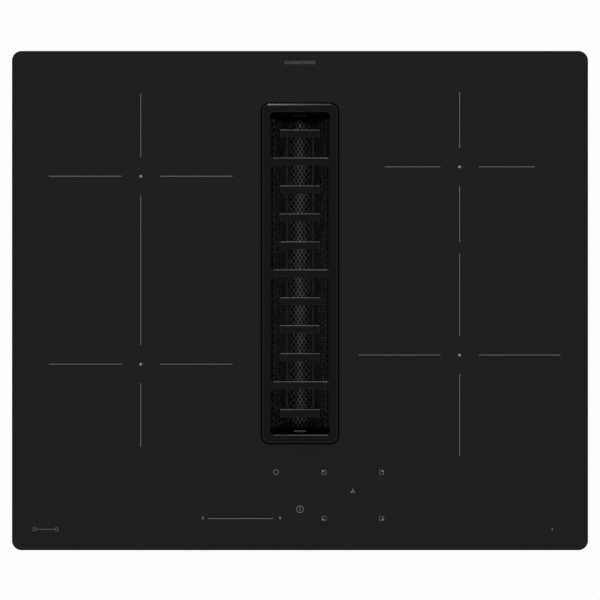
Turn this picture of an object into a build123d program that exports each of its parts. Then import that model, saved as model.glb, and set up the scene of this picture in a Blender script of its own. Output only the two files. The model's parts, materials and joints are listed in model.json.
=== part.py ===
"""Downdraft induction cooktop: four induction zones round a central air intake with its own fan.

Sizes are millimetres. X runs to the cook's right, Y to the back and Z up. The origin lies under
the middle of the glass, on the plane that the fan housing stands on.
"""

from build123d import *
from math import cos, hypot, radians, sin
import os

os.makedirs("parts", exist_ok=True)

# ---------------------------------------------------------------- glass top and its seal
GLASS_W = 600.0  # left to right
GLASS_D = 520.0  # front to back
GLASS_T = 4.0
GLASS_R = 10.0
GLASS_BEVEL = 1.2
SEAL_INSET = 3.0  # from the glass edge to the seal
SEAL_W = 8.0
SEAL_T = 2.0

# ---------------------------------------------------------------- heights, from the base up
TUB_H = 146.0
COVER_T = 2.0
TRAY_DEPTH = 62.0
TRAY_Z = TUB_H + COVER_T
GLASS_Z = TRAY_Z + TRAY_DEPTH

# ---------------------------------------------------------------- intake grille
INTAKE_BACK = 53.7  # from the back edge of the glass to the cut-out
INTAKE_FRONT = 110.3  # from the front edge
GRILLE_W = 79.0
GRILLE_R = 8.0
GRILLE_GAP = 1.5  # to the edge of the glass all round
GRILLE_PROUD = 2.5  # above the glass
GRILLE_BEVEL = 1.5
RAIL_W = 8.2
END_RAIL_W = 8.5
WINDOW_R = 4.0
BAR_W = 8.0
BAR_L = 41.7
BAR_DROP = 0.8  # top of a short bar under the top of the frame
BAR_T = 4.0
BAR_BEVEL = 0.5
CROSSBARS = (-4, 0, 4)  # places along the grille that carry a full crossbar
SHORT_BARS = (-5, -3, -2, -1, 1, 2, 3, 5)
END_BAR_GAP = 31.0  # from the end of the grille to the middle of the last short bar
RIB_X = 13.7
RIB_W = 1.8
RIB_H = 3.5
RIB_GUSSET_L = 2.2
RIB_GUSSET_H = 3.0
LUG_L = 12.0  # locating lugs under the grille
LUG_T = 1.4
LUG_DEPTH = 6.0
LUG_FIT = 0.3
LUG_SPREAD = 250.0

# ---------------------------------------------------------------- intake collar
COLLAR_SEAL_T = 0.8
COLLAR_SEAL_INSET = 1.0  # from the edge of the glass
COLLAR_LAP = 9.0  # flange under the glass, all round the cut-out
COLLAR_T = 2.5
COLLAR_R = 5.0
GRILLE_SEAT = 6.5  # width of the grille's edge that rests on the flange
LEDGE_DROP = 13.2  # from the flange down to the filter's ledge
LEDGE_W = 2.5
COLLAR_DIP = 6.0  # into the fan housing
THROAT_FIT = 1.0  # collar to the tray and the housing cover, filled by the throat seal
TRAY_LIP_H = 8.0

CUT_W = GRILLE_W + 2 * GRILLE_GAP
CUT_L = GLASS_D - INTAKE_BACK - INTAKE_FRONT
INTAKE_Y = (INTAKE_FRONT - INTAKE_BACK) / 2
GRILLE_L = CUT_L - 2 * GRILLE_GAP
BAR_PITCH = (GRILLE_L - 2 * END_BAR_GAP) / (2 * max(SHORT_BARS))
COLLAR_Z = GLASS_Z - COLLAR_SEAL_T
GRILLE_H = COLLAR_SEAL_T + GLASS_T + GRILLE_PROUD
THROAT_W = GRILLE_W - 2 * GRILLE_SEAT
THROAT_L = GRILLE_L - 2 * GRILLE_SEAT
NECK_W = THROAT_W - 2 * LEDGE_W
NECK_L = THROAT_L - 2 * LEDGE_W
LEDGE_Z = COLLAR_Z - LEDGE_DROP
TRAY_CUT_W = NECK_W + 2 * COLLAR_T + 2 * THROAT_FIT
TRAY_CUT_L = NECK_L + 2 * COLLAR_T + 2 * THROAT_FIT

# ---------------------------------------------------------------- grease filter and drip tray
FILTER_FIT = 0.5
FILTER_RIM_T = 2.5
FILTER_RIM_W = 5.0
BASKET_FIT = 1.3
BASKET_DEPTH = 96.0
BASKET_FLOOR_W = 18.0
BASKET_R = 8.0
MESH_T = 1.2
END_CAP_T = 1.2
TAB_W = 12.5
TAB_H = 6.0
TAB_T = 1.2
TAB_LIP = 0.8  # beyond the inner edge of the rim
DRIP_FIT = 2.5
DRIP_LIP = 1.5
DRIP_H = 32.0
DRIP_WALL = 1.5
DRIP_R = 7.0
CRADLE_H = 30.0
CRADLE_LIP_H = 6.0
CRADLE_T = 2.5
CRADLE_FIT = 0.4
CRADLE_SPREAD = 200.0

# ---------------------------------------------------------------- fan housing
TUB_LEFT = -60.0
TUB_FRONT_GAP = 9.3  # from the opening in the tray to the front of the tub
TUB_BACK_GAP = 14.7
TUB_R = 6.0
TUB_WALL = 2.5
FLOOR_T = 2.5
RIM_W = 9.0
RIM_T = 3.0
LONG_RIM_SCREW_COUNT = 4
SHORT_RIM_SCREW_COUNT = 3
RIM_SCREW_SPAN = 220.0  # along the front and the back
GUSSET_H = 24.0
GUSSET_T = 2.5

# ---------------------------------------------------------------- fan
IMPELLER_R = 74.0
BLADE_DEPTH = 11.0
BLADE_T = 1.2
BLADE_SWEEP = 10.0  # degrees that a blade's outer edge leads its inner edge
BLADE_BULGE = 1.8
BLADE_COUNT = 26
DISC_T = 2.0
TOP_RING_W = 12.0
TOP_RING_H = 4.0
TONGUE_GAP = 6.0
TONGUE_ANGLE = 52.0
TONGUE_R = 1.5
SCROLL_GROWTH = 9.0  # growth of the scroll's radius in each quarter turn
SCROLL_WALL = 2.0
SCROLL_FIT = 0.5  # to the side of the tub
SCROLL_H = 89.5
BOSS_W = 8.0
BELL_R = 57.0
BELL_DEPTH = 10.0
BELL_T = 2.0
BELL_SIDE_COUNT = 32
IMPELLER_DROP = 6.0  # top of the impeller under the top of the scroll
FAN_FRONT = 132.0  # fan axis, in from the front of the tub
KNEE_BACK = 24.0  # where the diffuser's slanting wall turns straight, in from the back

MOUNT_R = 7.0
MOUNT_H = 5.0
MOUNT_RING_R = 49.0
MOUNT_COUNT = 3
MOTOR_FLANGE_R = 58.0
MOTOR_FLANGE_T = 3.0
MOTOR_R = 40.0
MOTOR_H = 37.5
SHAFT_R = 4.0
SHAFT_FIT = 0.05
SHAFT_DIP = 30.0  # into the motor
SHAFT_END_GAP = 0.5
DISC_LIFT = 9.5  # impeller disc above the motor flange
HUB_GAP = 3.0  # round the motor
HUB_T = 2.0
HUB_BOSS_R = 11.0
HUB_BOSS_H = 13.0
NUT_R = 7.0
NUT_H = 7.0

SCROLL_R = IMPELLER_R + TONGUE_GAP
SCROLL_HALF = SCROLL_GROWTH / 2
SCROLL_TOP = FLOOR_T + SCROLL_H
SCROLL_FLOOR = FLOOR_T + SCROLL_WALL
MOTOR_SEAT = SCROLL_FLOOR + MOUNT_H + MOTOR_FLANGE_T
MOTOR_TOP = MOTOR_SEAT + MOTOR_H
DISC_Z = MOTOR_SEAT + DISC_LIFT
IMPELLER_TOP = SCROLL_TOP - IMPELLER_DROP
HUB_TOP = MOTOR_TOP + HUB_GAP + HUB_T
NUT_Z = HUB_TOP + HUB_BOSS_H

# ---------------------------------------------------------------- duct spigot
DUCT_W = 217.4  # outside, goes into flat duct 222 x 89
DUCT_H = 84.4
DUCT_R = 3.0
DUCT_T = 2.0
DUCT_REACH = 24.0
SPIGOT_FLANGE_T = 2.5
SPIGOT_MARGIN = 4.0
SPIGOT_TOP_MARGIN = 10.0
SPIGOT_LIFT = 0.8  # flange above the base
OUTLET_MARGIN = 2.8
OUTLET_GAP = 5.0  # from the intake's neck to the diffuser
SPIGOT_SCREW_COUNT = 3
SPIGOT_SCREW_SPAN = 196.0

OUTLET_LEFT = NECK_W / 2 + COLLAR_T + OUTLET_GAP
SCROLL_RIGHT = OUTLET_LEFT + DUCT_W + 2 * OUTLET_MARGIN
FAN_X = SCROLL_RIGHT - SCROLL_HALF - SCROLL_R - 3 * SCROLL_GROWTH
TUB_RIGHT = SCROLL_RIGHT + SCROLL_WALL + SCROLL_FIT + TUB_WALL
TUB_FRONT = INTAKE_Y - TRAY_CUT_L / 2 - TUB_FRONT_GAP
TUB_BACK = INTAKE_Y + TRAY_CUT_L / 2 + TUB_BACK_GAP
FAN_Y = TUB_FRONT + FAN_FRONT
KNEE_Y = TUB_BACK - KNEE_BACK
TUB_W = TUB_RIGHT - TUB_LEFT
TUB_L = TUB_BACK - TUB_FRONT
TUB_AT = ((TUB_LEFT + TUB_RIGHT) / 2, (TUB_FRONT + TUB_BACK) / 2)
SPIGOT_X = (SCROLL_RIGHT + OUTLET_LEFT) / 2
SPIGOT_Z = SPIGOT_LIFT + SPIGOT_MARGIN + DUCT_H / 2

# ---------------------------------------------------------------- hob tray
TRAY_SIDE_GAP = 23.0  # in from the left and right edges of the glass
TRAY_END_GAP = 19.0  # in from the front and back edges
SHEET_T = 1.0
TRAY_FLANGE = 7.0
LOUVRE_W = 4.0
LOUVRE_H = 26.0
LOUVRE_PITCH = 15.0
LOUVRE_COUNT = 9
LOUVRE_X = 155.0
INLET_W = 52.0
INLET_SLOT = 6.0
INLET_PITCH = 10.0
INLET_COUNT = 5
TRAY_FLOOR = TRAY_Z + SHEET_T
TRAY_W = GLASS_W - 2 * TRAY_SIDE_GAP
TRAY_D = GLASS_D - 2 * TRAY_END_GAP

SPRING_Y = 150.0
SPRING_W = 20.0
SPRING_T = 0.8
SPRING_BULGE = 7.0
SPRING_LOW = 16.0  # above the tray's underside
SPRING_FLAT = 10.0
SPRING_ARM = 15.0

# ---------------------------------------------------------------- screws
HEAD_R = 3.8
HEAD_H = 2.6

# ---------------------------------------------------------------- induction zones
LEFT_ZONE_OUT = 8.8  # out from the middle of the coil carrier
RIGHT_ZONE_OUT = 9.2
LEFT_BACK_GAP = 14.5  # from the back of the carrier to the rear coil
LEFT_BETWEEN = 11.8  # between the rear and the front coil
LEFT_FRONT_GAP = 6.7
LEFT_SIDE_GAP = 23.0
RIGHT_BACK_GAP = 22.8
RIGHT_BETWEEN = 20.8
RIGHT_FRONT_GAP = 7.4
RIGHT_SIDE_GAP = 14.0
SMALL_COIL_R = 74.0
COIL_BORE_R = 16.0
COIL_SIDE_COUNT = 16
FORMER_LAP = 2.0
SENSOR_R = 6.0
MICA_T = 0.8
COIL_T = 5.0
FORMER_T = 4.0
FERRITE_T = 4.5
FERRITE_W = 14.0
FERRITE_COUNT = 6
CARRIER_T = 1.5
CARRIER_SIDE_GAP = 4.0
CARRIER_COLLAR_GAP = 6.5
CARRIER_FRONT_GAP = 76.0  # room for the touch board and the blowers
CARRIER_BACK_GAP = 5.0
CARRIER_FLANGE_H = 8.0
POST_W = 8.0
POST_INSET = 8.0

MICA_Z = GLASS_Z - MICA_T
COIL_Z = MICA_Z - COIL_T
FORMER_Z = COIL_Z - FORMER_T
FERRITE_Z = FORMER_Z - FERRITE_T
CARRIER_Z = FERRITE_Z - CARRIER_T
CARRIER_IN = THROAT_W / 2 + COLLAR_T + CARRIER_COLLAR_GAP
CARRIER_OUT = TRAY_W / 2 - SHEET_T - CARRIER_SIDE_GAP
CARRIER_HALF = (CARRIER_OUT - CARRIER_IN) / 2
CARRIER_X = (CARRIER_OUT + CARRIER_IN) / 2
CARRIER_FRONT = CARRIER_FRONT_GAP - TRAY_D / 2
CARRIER_BACK = TRAY_D / 2 - CARRIER_BACK_GAP
CARRIER_L = CARRIER_BACK - CARRIER_FRONT
LEFT_RUN = (CARRIER_L - LEFT_BACK_GAP - LEFT_BETWEEN - LEFT_FRONT_GAP) / 4
LEFT_COIL_R = min(LEFT_RUN, CARRIER_HALF - LEFT_SIDE_GAP)
RIGHT_REAR_COIL_R = min(SMALL_COIL_R, CARRIER_HALF - RIGHT_SIDE_GAP)
RIGHT_RUN = (CARRIER_L - RIGHT_BACK_GAP - RIGHT_BETWEEN - RIGHT_FRONT_GAP) / 2
RIGHT_FRONT_COIL_R = min(RIGHT_RUN - RIGHT_REAR_COIL_R, CARRIER_HALF - RIGHT_SIDE_GAP)

# ---------------------------------------------------------------- electronics in the tray
BOARD_T = 1.6
STANDOFF_H = 6.0
STANDOFF_W = 6.0
STANDOFF_INSET = 7.0
BOARD_SIDE_GAP = 30.0  # inside the edge of the coil carrier
BOARD_OUT = 3.0  # out from the middle of the carrier
BOARD_BLOWER_GAP = 35.0
BOARD_GAP = 14.0  # to the mains filter board
SINK_SHARE = 0.35  # of the board's width
SINK_END_GAP = 50.0  # to the ends of the board
SINK_BASE_T = 4.0
SINK_FIN_T = 2.0
SINK_FIN_H = 26.0
SINK_FIN_COUNT = 8
CAP_W = 22.0
CAP_L = 32.0
CAP_H = 24.0
CAP_PITCH = 44.0
CHOKE_W = 30.0
CHOKE_H = 18.0
CAN_R = 9.0
CAN_H = 28.0
MAINS_BOARD_L = 44.0
MAINS_BOARD_BACK = 30.0  # its middle in from the back of the tray
BOARD_Z = TRAY_FLOOR + STANDOFF_H

BLOWER_X = 170.0
BLOWER_FRONT = 42.0  # its axis in from the front of the tray
BLOWER_W = 86.0
BLOWER_D = 78.0
BLOWER_H = 32.0
BLOWER_WALL = 2.0
BLOWER_EYE_R = 27.0
BLOWER_EYE_SIDE_COUNT = 16
BLOWER_MOUTH_W = 50.0
BLOWER_MOUTH_H = 24.0
ROTOR_R = 33.0
ROTOR_H = 20.0
ROTOR_BLADE_COUNT = 10
ROTOR_BLADE_DEPTH = 8.0
ROTOR_BLADE_T = 1.2
ROTOR_HUB_R = 13.0
ROTOR_DISC_T = 1.5
ROTOR_DROP = 3.0  # under the blower's roof
PIN_R = 1.5
PIN_FIT = 0.05

BLOWER_Y = BLOWER_FRONT - TRAY_D / 2
MAINS_BOARD_Y = TRAY_D / 2 - MAINS_BOARD_BACK
POWER_BOARD_FRONT = BLOWER_Y + BLOWER_D / 2 + BOARD_BLOWER_GAP
POWER_BOARD_BACK = MAINS_BOARD_Y - MAINS_BOARD_L / 2 - BOARD_GAP
POWER_BOARD_W = 2 * (CARRIER_HALF - BOARD_SIDE_GAP)
POWER_BOARD_L = POWER_BOARD_BACK - POWER_BOARD_FRONT
POWER_BOARD_X = CARRIER_X + BOARD_OUT
POWER_BOARD_Y = (POWER_BOARD_FRONT + POWER_BOARD_BACK) / 2
SINK_W = POWER_BOARD_W * SINK_SHARE
SINK_L = POWER_BOARD_L - 2 * SINK_END_GAP
PART_COLUMN_X = (SINK_W + POWER_BOARD_W) / 4

TOUCH_BOARD_W = 230.0
TOUCH_BOARD_D = 64.0
TOUCH_X = -5.0
TOUCH_FRONT = 57.0  # its middle in from the front edge of the glass
KEY_PLACES = (  # to the right of the middle, and in from the front edge of the glass
    (-25.1, 81.3),
    (25.0, 81.3),
    (85.0, 81.3),
    (54.9, 61.5),
    (0.0, 42.7),
    (25.0, 33.3),
    (85.0, 33.3),
)
SLIDER_X = -62.0
SLIDER_L = 64.0
SLIDER_FRONT = 33.0
SLIDER_FIELD_COUNT = 5
TOUCH_GAP = 6.0  # board to glass, bridged by the contacts
TOUCH_CONTACT_W = 7.0
TOUCH_TRAY_T = 2.0
TOUCH_TRAY_RIM = 2.0
TOUCH_LEG_W = 8.0
TOUCH_LEG_INSET = 10.0
TOUCH_BOARD_Z = GLASS_Z - TOUCH_GAP - BOARD_T

# ---------------------------------------------------------------- boxes under the tray
BOX_WALL = 2.0
EAR_L = 12.0
EAR_W = 14.0
EAR_T = 2.0
LID_T = 2.5
LID_LIP_H = 3.0
LID_FIT = 0.3
DRIVER_W = 78.0
DRIVER_L = 120.0
DRIVER_H = 38.0
DRIVER_GAP = 3.0  # to the rim of the fan housing
DRIVER_Y = 80.0
DRIVER_POST_H = 8.0
TERMINAL_W = 100.0
TERMINAL_L = 66.0
TERMINAL_H = 34.0
TERMINAL_SIDE = 72.0  # its middle in from the left of the tray
TERMINAL_BACK = 51.0  # its middle in from the back of the tray
CABLE_HOLE_R = 7.0
CABLE_FIT = 0.5
CABLE_DROP = 15.0  # cable axis under the tray
CLAMP_W = 32.0
CLAMP_D = 8.0
CLAMP_T = 4.0
CLAMP_POST_W = 7.0
CLAMP_POST_X = 12.0
CLAMP_INSET = 10.0
BLOCK_W = 64.0
BLOCK_D = 18.0
BLOCK_H = 16.0
BLOCK_WAY_COUNT = 5
HINGE_R = 2.5
HINGE_EAR = 2.2  # from the hinge axis to the outside of an ear
HINGE_PIN_R = 1.0
HINGE_FIT = 0.05
KNUCKLE_L = 14.0
KNUCKLE_GAP = 0.3
HINGE_OUT = 3.2  # hinge axis in front of the box

DRIVER_AT = (TUB_LEFT - RIM_W - DRIVER_GAP - DRIVER_W / 2, DRIVER_Y)
TERMINAL_X = TERMINAL_SIDE - TRAY_W / 2
TERMINAL_Y = TRAY_D / 2 - TERMINAL_BACK
TERMINAL_AT = (TERMINAL_X, TERMINAL_Y)
HINGE_Y = TERMINAL_Y - TERMINAL_L / 2 - HINGE_OUT
HINGE_Z = TRAY_Z - TERMINAL_H - LID_T / 2

INTAKE_AT = (0.0, INTAKE_Y)
FAN_AT = (FAN_X, FAN_Y)
CUT_OVER = 1.0  # how far a cut runs past the face that it opens


# ---------------------------------------------------------------- shared shapes
def plate(width, length, radius, height, base, at=(0.0, 0.0)):
    """Return a flat piece with rounded corners, its underside at height base."""
    outline = RectangleRounded(width, length, radius) if radius > 0 else Rectangle(width, length)
    return Pos(at[0], at[1], base) * extrude(outline, height)


def ring(width, length, radius, rim, height, base, at=(0.0, 0.0)):
    """Return a flat ring: a plate with its middle cut out, rim wide all round."""
    outer = plate(width, length, radius, height, base, at)
    return outer - plate(width - 2 * rim, length - 2 * rim, radius - rim, height, base, at)


def disc(radius, height, base, at=(0.0, 0.0), bore=0.0):
    """Return an upright round piece with an optional bore."""
    outline = Circle(radius)
    if bore:
        outline = outline - Circle(bore)
    return Pos(at[0], at[1], base) * extrude(outline, height)


def block(low, high):
    """Return a box between two opposite corners."""
    size = [b - a for a, b in zip(low, high)]
    middle = [(a + b) / 2 for a, b in zip(low, high)]
    return Pos(*middle) * Box(*size)


def group(pieces):
    """Return separate solids as one node."""
    return Compound([solid for piece in pieces for solid in piece.solids()])


def spread(count, length, middle=0.0):
    """Return count evenly spaced places, the first and last length apart."""
    return [middle + length * (i / (count - 1) - 0.5) for i in range(count)]


def hex_post(radius, height, base, at):
    """Return an upright hexagonal post."""
    return Pos(at[0], at[1], base) * extrude(RegularPolygon(radius, 6), height)


def square_post(width, height, base, at):
    """Return an upright square post."""
    return plate(width, width, 0, height, base, at)


def screw_head(seat, outward):
    """Return the hexagonal head of a screw that is driven in at seat."""
    return extrude(Plane(origin=seat, z_dir=outward) * RegularPolygon(HEAD_R, 6), HEAD_H)


# ---------------------------------------------------------------- glass
def build_glass_top():
    """Glass ceramic plate with a ground top edge and the intake's cut-out."""
    glass = plate(GLASS_W, GLASS_D, GLASS_R, GLASS_T, GLASS_Z)
    rim = glass.faces().sort_by(Axis.Z)[-1].edges()
    glass = chamfer(rim, GLASS_BEVEL)
    return glass - plate(CUT_W, CUT_L, GRILLE_R + GRILLE_GAP, GLASS_T, GLASS_Z, INTAKE_AT)


def build_worktop_seal():
    """Foam strip under the rim of the glass, which rests on the worktop."""
    width = GLASS_W - 2 * SEAL_INSET
    length = GLASS_D - 2 * SEAL_INSET
    return ring(width, length, 0, SEAL_W, SEAL_T, GLASS_Z - SEAL_T)


# ---------------------------------------------------------------- intake
def window_spans():
    """Return where each opening of the grille starts and ends, along the grille."""
    half = GRILLE_L / 2 - END_RAIL_W
    edges = [-half]
    for place in CROSSBARS:
        edges += [place * BAR_PITCH - BAR_W / 2, place * BAR_PITCH + BAR_W / 2]
    edges.append(half)
    return list(zip(edges[0::2], edges[1::2]))


def grille_gusset(x, y, base):
    """Return the small triangular web that stiffens a bar against its rib."""
    profile = make_face(Polyline((0, 0), (RIB_GUSSET_L, 0), (0, RIB_GUSSET_H), (0, 0)))
    standing = Plane(origin=(x - RIB_W / 2, y, base), x_dir=(0, 1, 0), z_dir=(1, 0, 0))
    return extrude(standing * profile, RIB_W)


def build_intake_grille():
    """Cast grille: a frame with crossbars, and short bars carried on two lengthwise ribs.

    The ribs end under the outermost short bars.
    """
    top = COLLAR_Z + GRILLE_H
    frame = plate(GRILLE_W, GRILLE_L, GRILLE_R, GRILLE_H, COLLAR_Z, INTAKE_AT)
    window_w = GRILLE_W - 2 * RAIL_W
    for start, end in window_spans():
        middle = (0.0, INTAKE_Y + (start + end) / 2)
        frame -= plate(window_w, end - start, WINDOW_R, GRILLE_H, COLLAR_Z, middle)
    frame = chamfer(frame.faces().sort_by(Axis.Z)[-1].outer_wire().edges(), GRILLE_BEVEL)
    rib_top = top - BAR_DROP - BAR_T
    pieces = []
    rib_end = max(SHORT_BARS) * BAR_PITCH
    for side in (-1, 1):
        for start, end in window_spans():
            front = INTAKE_Y + max(start - CUT_OVER, -rib_end)
            back = INTAKE_Y + min(end + CUT_OVER, rib_end)
            low = (side * RIB_X - RIB_W / 2, front, rib_top - RIB_H)
            high = (side * RIB_X + RIB_W / 2, back, rib_top)
            pieces.append(block(low, high))
        for place in (*SHORT_BARS[:-1], *CROSSBARS):
            bar_edge = INTAKE_Y + place * BAR_PITCH + BAR_W / 2
            pieces.append(grille_gusset(side * RIB_X, bar_edge, rib_top))
    for place in SHORT_BARS:
        y = INTAKE_Y + place * BAR_PITCH
        bar_top = top - BAR_DROP
        bar = block((-BAR_L / 2, y - BAR_W / 2, bar_top - BAR_T), (BAR_L / 2, y + BAR_W / 2, bar_top))
        pieces.append(chamfer(bar.faces().sort_by(Axis.Z)[-1].edges(), BAR_BEVEL))
    lug_x = THROAT_W / 2 - LUG_FIT
    for side in (-1, 1):
        for y in spread(2, LUG_SPREAD, INTAKE_Y):
            inner = side * (lug_x - LUG_T)
            outer = side * lug_x
            low = (min(inner, outer), y - LUG_L / 2, COLLAR_Z - LUG_DEPTH)
            high = (max(inner, outer), y + LUG_L / 2, COLLAR_Z + CUT_OVER)
            pieces.append(block(low, high))
    return frame + pieces


def build_collar_seal():
    """Thin seal between the collar's flange and the glass."""
    width = CUT_W + 2 * COLLAR_LAP
    length = CUT_L + 2 * COLLAR_LAP
    rim = COLLAR_LAP - COLLAR_SEAL_INSET
    seal = plate(width, length, 0, COLLAR_SEAL_T, COLLAR_Z, INTAKE_AT)
    inner_w = width - 2 * rim
    inner_l = length - 2 * rim
    inner_r = GRILLE_R + GRILLE_GAP
    return seal - plate(inner_w, inner_l, inner_r, COLLAR_SEAL_T, COLLAR_Z, INTAKE_AT)


def build_intake_collar():
    """Moulded collar: flange under the glass, ledge for the filter, neck into the housing."""
    width = CUT_W + 2 * COLLAR_LAP
    length = CUT_L + 2 * COLLAR_LAP
    flange = plate(width, length, 0, COLLAR_T, COLLAR_Z - COLLAR_T, INTAKE_AT)
    foot = TUB_H - COLLAR_DIP
    ledge_under = LEDGE_Z - COLLAR_T
    mouth_w = THROAT_W + 2 * COLLAR_T
    mouth_l = THROAT_L + 2 * COLLAR_T
    mouth_h = COLLAR_Z - COLLAR_T - ledge_under
    mouth = plate(mouth_w, mouth_l, COLLAR_R, mouth_h, ledge_under, INTAKE_AT)
    neck_w = NECK_W + 2 * COLLAR_T
    neck_l = NECK_L + 2 * COLLAR_T
    neck = plate(neck_w, neck_l, 0, ledge_under - foot, foot, INTAKE_AT)
    upper_room = plate(THROAT_W, THROAT_L, COLLAR_R, LEDGE_DROP, LEDGE_Z, INTAKE_AT)
    lower_room = plate(NECK_W, NECK_L, 0, LEDGE_Z - foot, foot, INTAKE_AT)
    return flange + mouth + neck - upper_room - lower_room


def build_throat_seal():
    """Rubber ring that closes the slit between the collar, the tray and the housing cover."""
    height = COVER_T + SHEET_T
    return ring(TRAY_CUT_W, TRAY_CUT_L, 0, THROAT_FIT, height, TUB_H, INTAKE_AT)


# ---------------------------------------------------------------- grease filter and drip tray
BASKET_HALF_W = NECK_W / 2 - BASKET_FIT
BASKET_L = NECK_L - 2 * BASKET_FIT - 2 * END_CAP_T
FILTER_RIM_L = THROAT_L - 2 * FILTER_FIT


def along_intake(section, length, middle=INTAKE_Y):
    """Return a section drawn in X and Z, drawn out lengthwise about the middle of the intake."""
    return Pos(0, middle + length / 2, 0) * Rot(90, 0, 0) * extrude(section, length)


def basket_line(inset):
    """Return the filter's bent section, drawn in by inset from its outer face."""
    floor_half = BASKET_FLOOR_W / 2
    slant = hypot(BASKET_DEPTH, BASKET_HALF_W - floor_half)
    side = inset * slant / BASKET_DEPTH
    low = LEDGE_Z - BASKET_DEPTH
    foot = floor_half - inset * (slant - BASKET_HALF_W + floor_half) / BASKET_DEPTH
    top = BASKET_HALF_W - side
    corners = [(-top, LEDGE_Z), (-foot, low + inset), (foot, low + inset), (top, LEDGE_Z)]
    return FilletPolyline(*corners, radius=BASKET_R - inset)


def build_filter_mesh():
    """The filter's expanded metal, bent to a deep trough with a rounded floor."""
    outer = basket_line(0)
    inner = basket_line(MESH_T)
    ends = [Line(outer @ 0, inner @ 0), Line(outer @ 1, inner @ 1)]
    return along_intake(make_face([*outer.edges(), *inner.edges(), *ends]), BASKET_L)


def build_filter_end_caps():
    """Two steel plates that close the ends of the trough."""
    outline = basket_line(0)
    section = make_face([*outline.edges(), Line(outline @ 1, outline @ 0)])
    middles = spread(2, BASKET_L + END_CAP_T, INTAKE_Y)
    return group([along_intake(section, END_CAP_T, middle) for middle in middles])


def build_filter_frame():
    """Flat rim that carries the trough and rests on the collar's ledge."""
    width = THROAT_W - 2 * FILTER_FIT
    radius = COLLAR_R - FILTER_FIT
    return ring(width, FILTER_RIM_L, radius, FILTER_RIM_W, FILTER_RIM_T, LEDGE_Z, INTAKE_AT)


def build_filter_pull_tab():
    """Two upright tabs with a small lip, on the ends of the rim, that draw the filter out."""
    base = LEDGE_Z + FILTER_RIM_T
    reach = FILTER_RIM_L / 2 - FILTER_RIM_W
    tabs = []
    for side in (-1, 1):
        inner = INTAKE_Y + side * (reach - TAB_LIP)
        edge = INTAKE_Y + side * reach
        outer = INTAKE_Y + side * (reach + TAB_T)
        low = (-TAB_W / 2, min(edge, outer), base)
        high = (TAB_W / 2, max(edge, outer), base + TAB_H)
        lip_low = (-TAB_W / 2, min(inner, outer), base + TAB_H - TAB_T)
        lip_high = (TAB_W / 2, max(inner, outer), base + TAB_H)
        tabs.append(block(low, high) + block(lip_low, lip_high))
    return group(tabs)


def build_drip_tray():
    """Tray that catches what the filter drops, with a small lip all round."""
    width = NECK_W - 2 * DRIP_FIT
    length = NECK_L - 2 * DRIP_FIT
    base = FLOOR_T + CRADLE_H
    body = plate(width, length, DRIP_R, DRIP_H, base, INTAKE_AT)
    lip_w = width + 2 * DRIP_LIP
    lip_l = length + 2 * DRIP_LIP
    lip = plate(lip_w, lip_l, DRIP_R + DRIP_LIP, DRIP_WALL, base + DRIP_H - DRIP_WALL, INTAKE_AT)
    inner_w = width - 2 * DRIP_WALL
    inner_l = length - 2 * DRIP_WALL
    room = plate(inner_w, inner_l, DRIP_R - DRIP_WALL, DRIP_H, base + DRIP_WALL, INTAKE_AT)
    return body + lip - room


# ---------------------------------------------------------------- fan housing
def rim_places():
    """Return the screw places round the rim of the fan housing."""
    inset = RIM_W / 2
    places = []
    for y in spread(LONG_RIM_SCREW_COUNT, TUB_L - 2 * TUB_R, TUB_AT[1]):
        places += [(TUB_LEFT - inset, y), (TUB_RIGHT + inset, y)]
    for x in spread(SHORT_RIM_SCREW_COUNT, RIM_SCREW_SPAN, TUB_AT[0]):
        places += [(x, TUB_FRONT - inset), (x, TUB_BACK + inset)]
    return places


def rim_gusset(at, outward):
    """Return the triangular web between the tub's wall and its rim."""
    under = TUB_H - RIM_T
    profile = make_face(Polyline((0, 0), (RIM_W, 0), (0, GUSSET_H), (0, 0)))
    sideways = (-outward[1], outward[0], 0)
    start = (at[0] - sideways[0] * GUSSET_T / 2, at[1] - sideways[1] * GUSSET_T / 2, under)
    return extrude(Plane(origin=start, x_dir=outward, z_dir=sideways) * profile, GUSSET_T)


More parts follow.
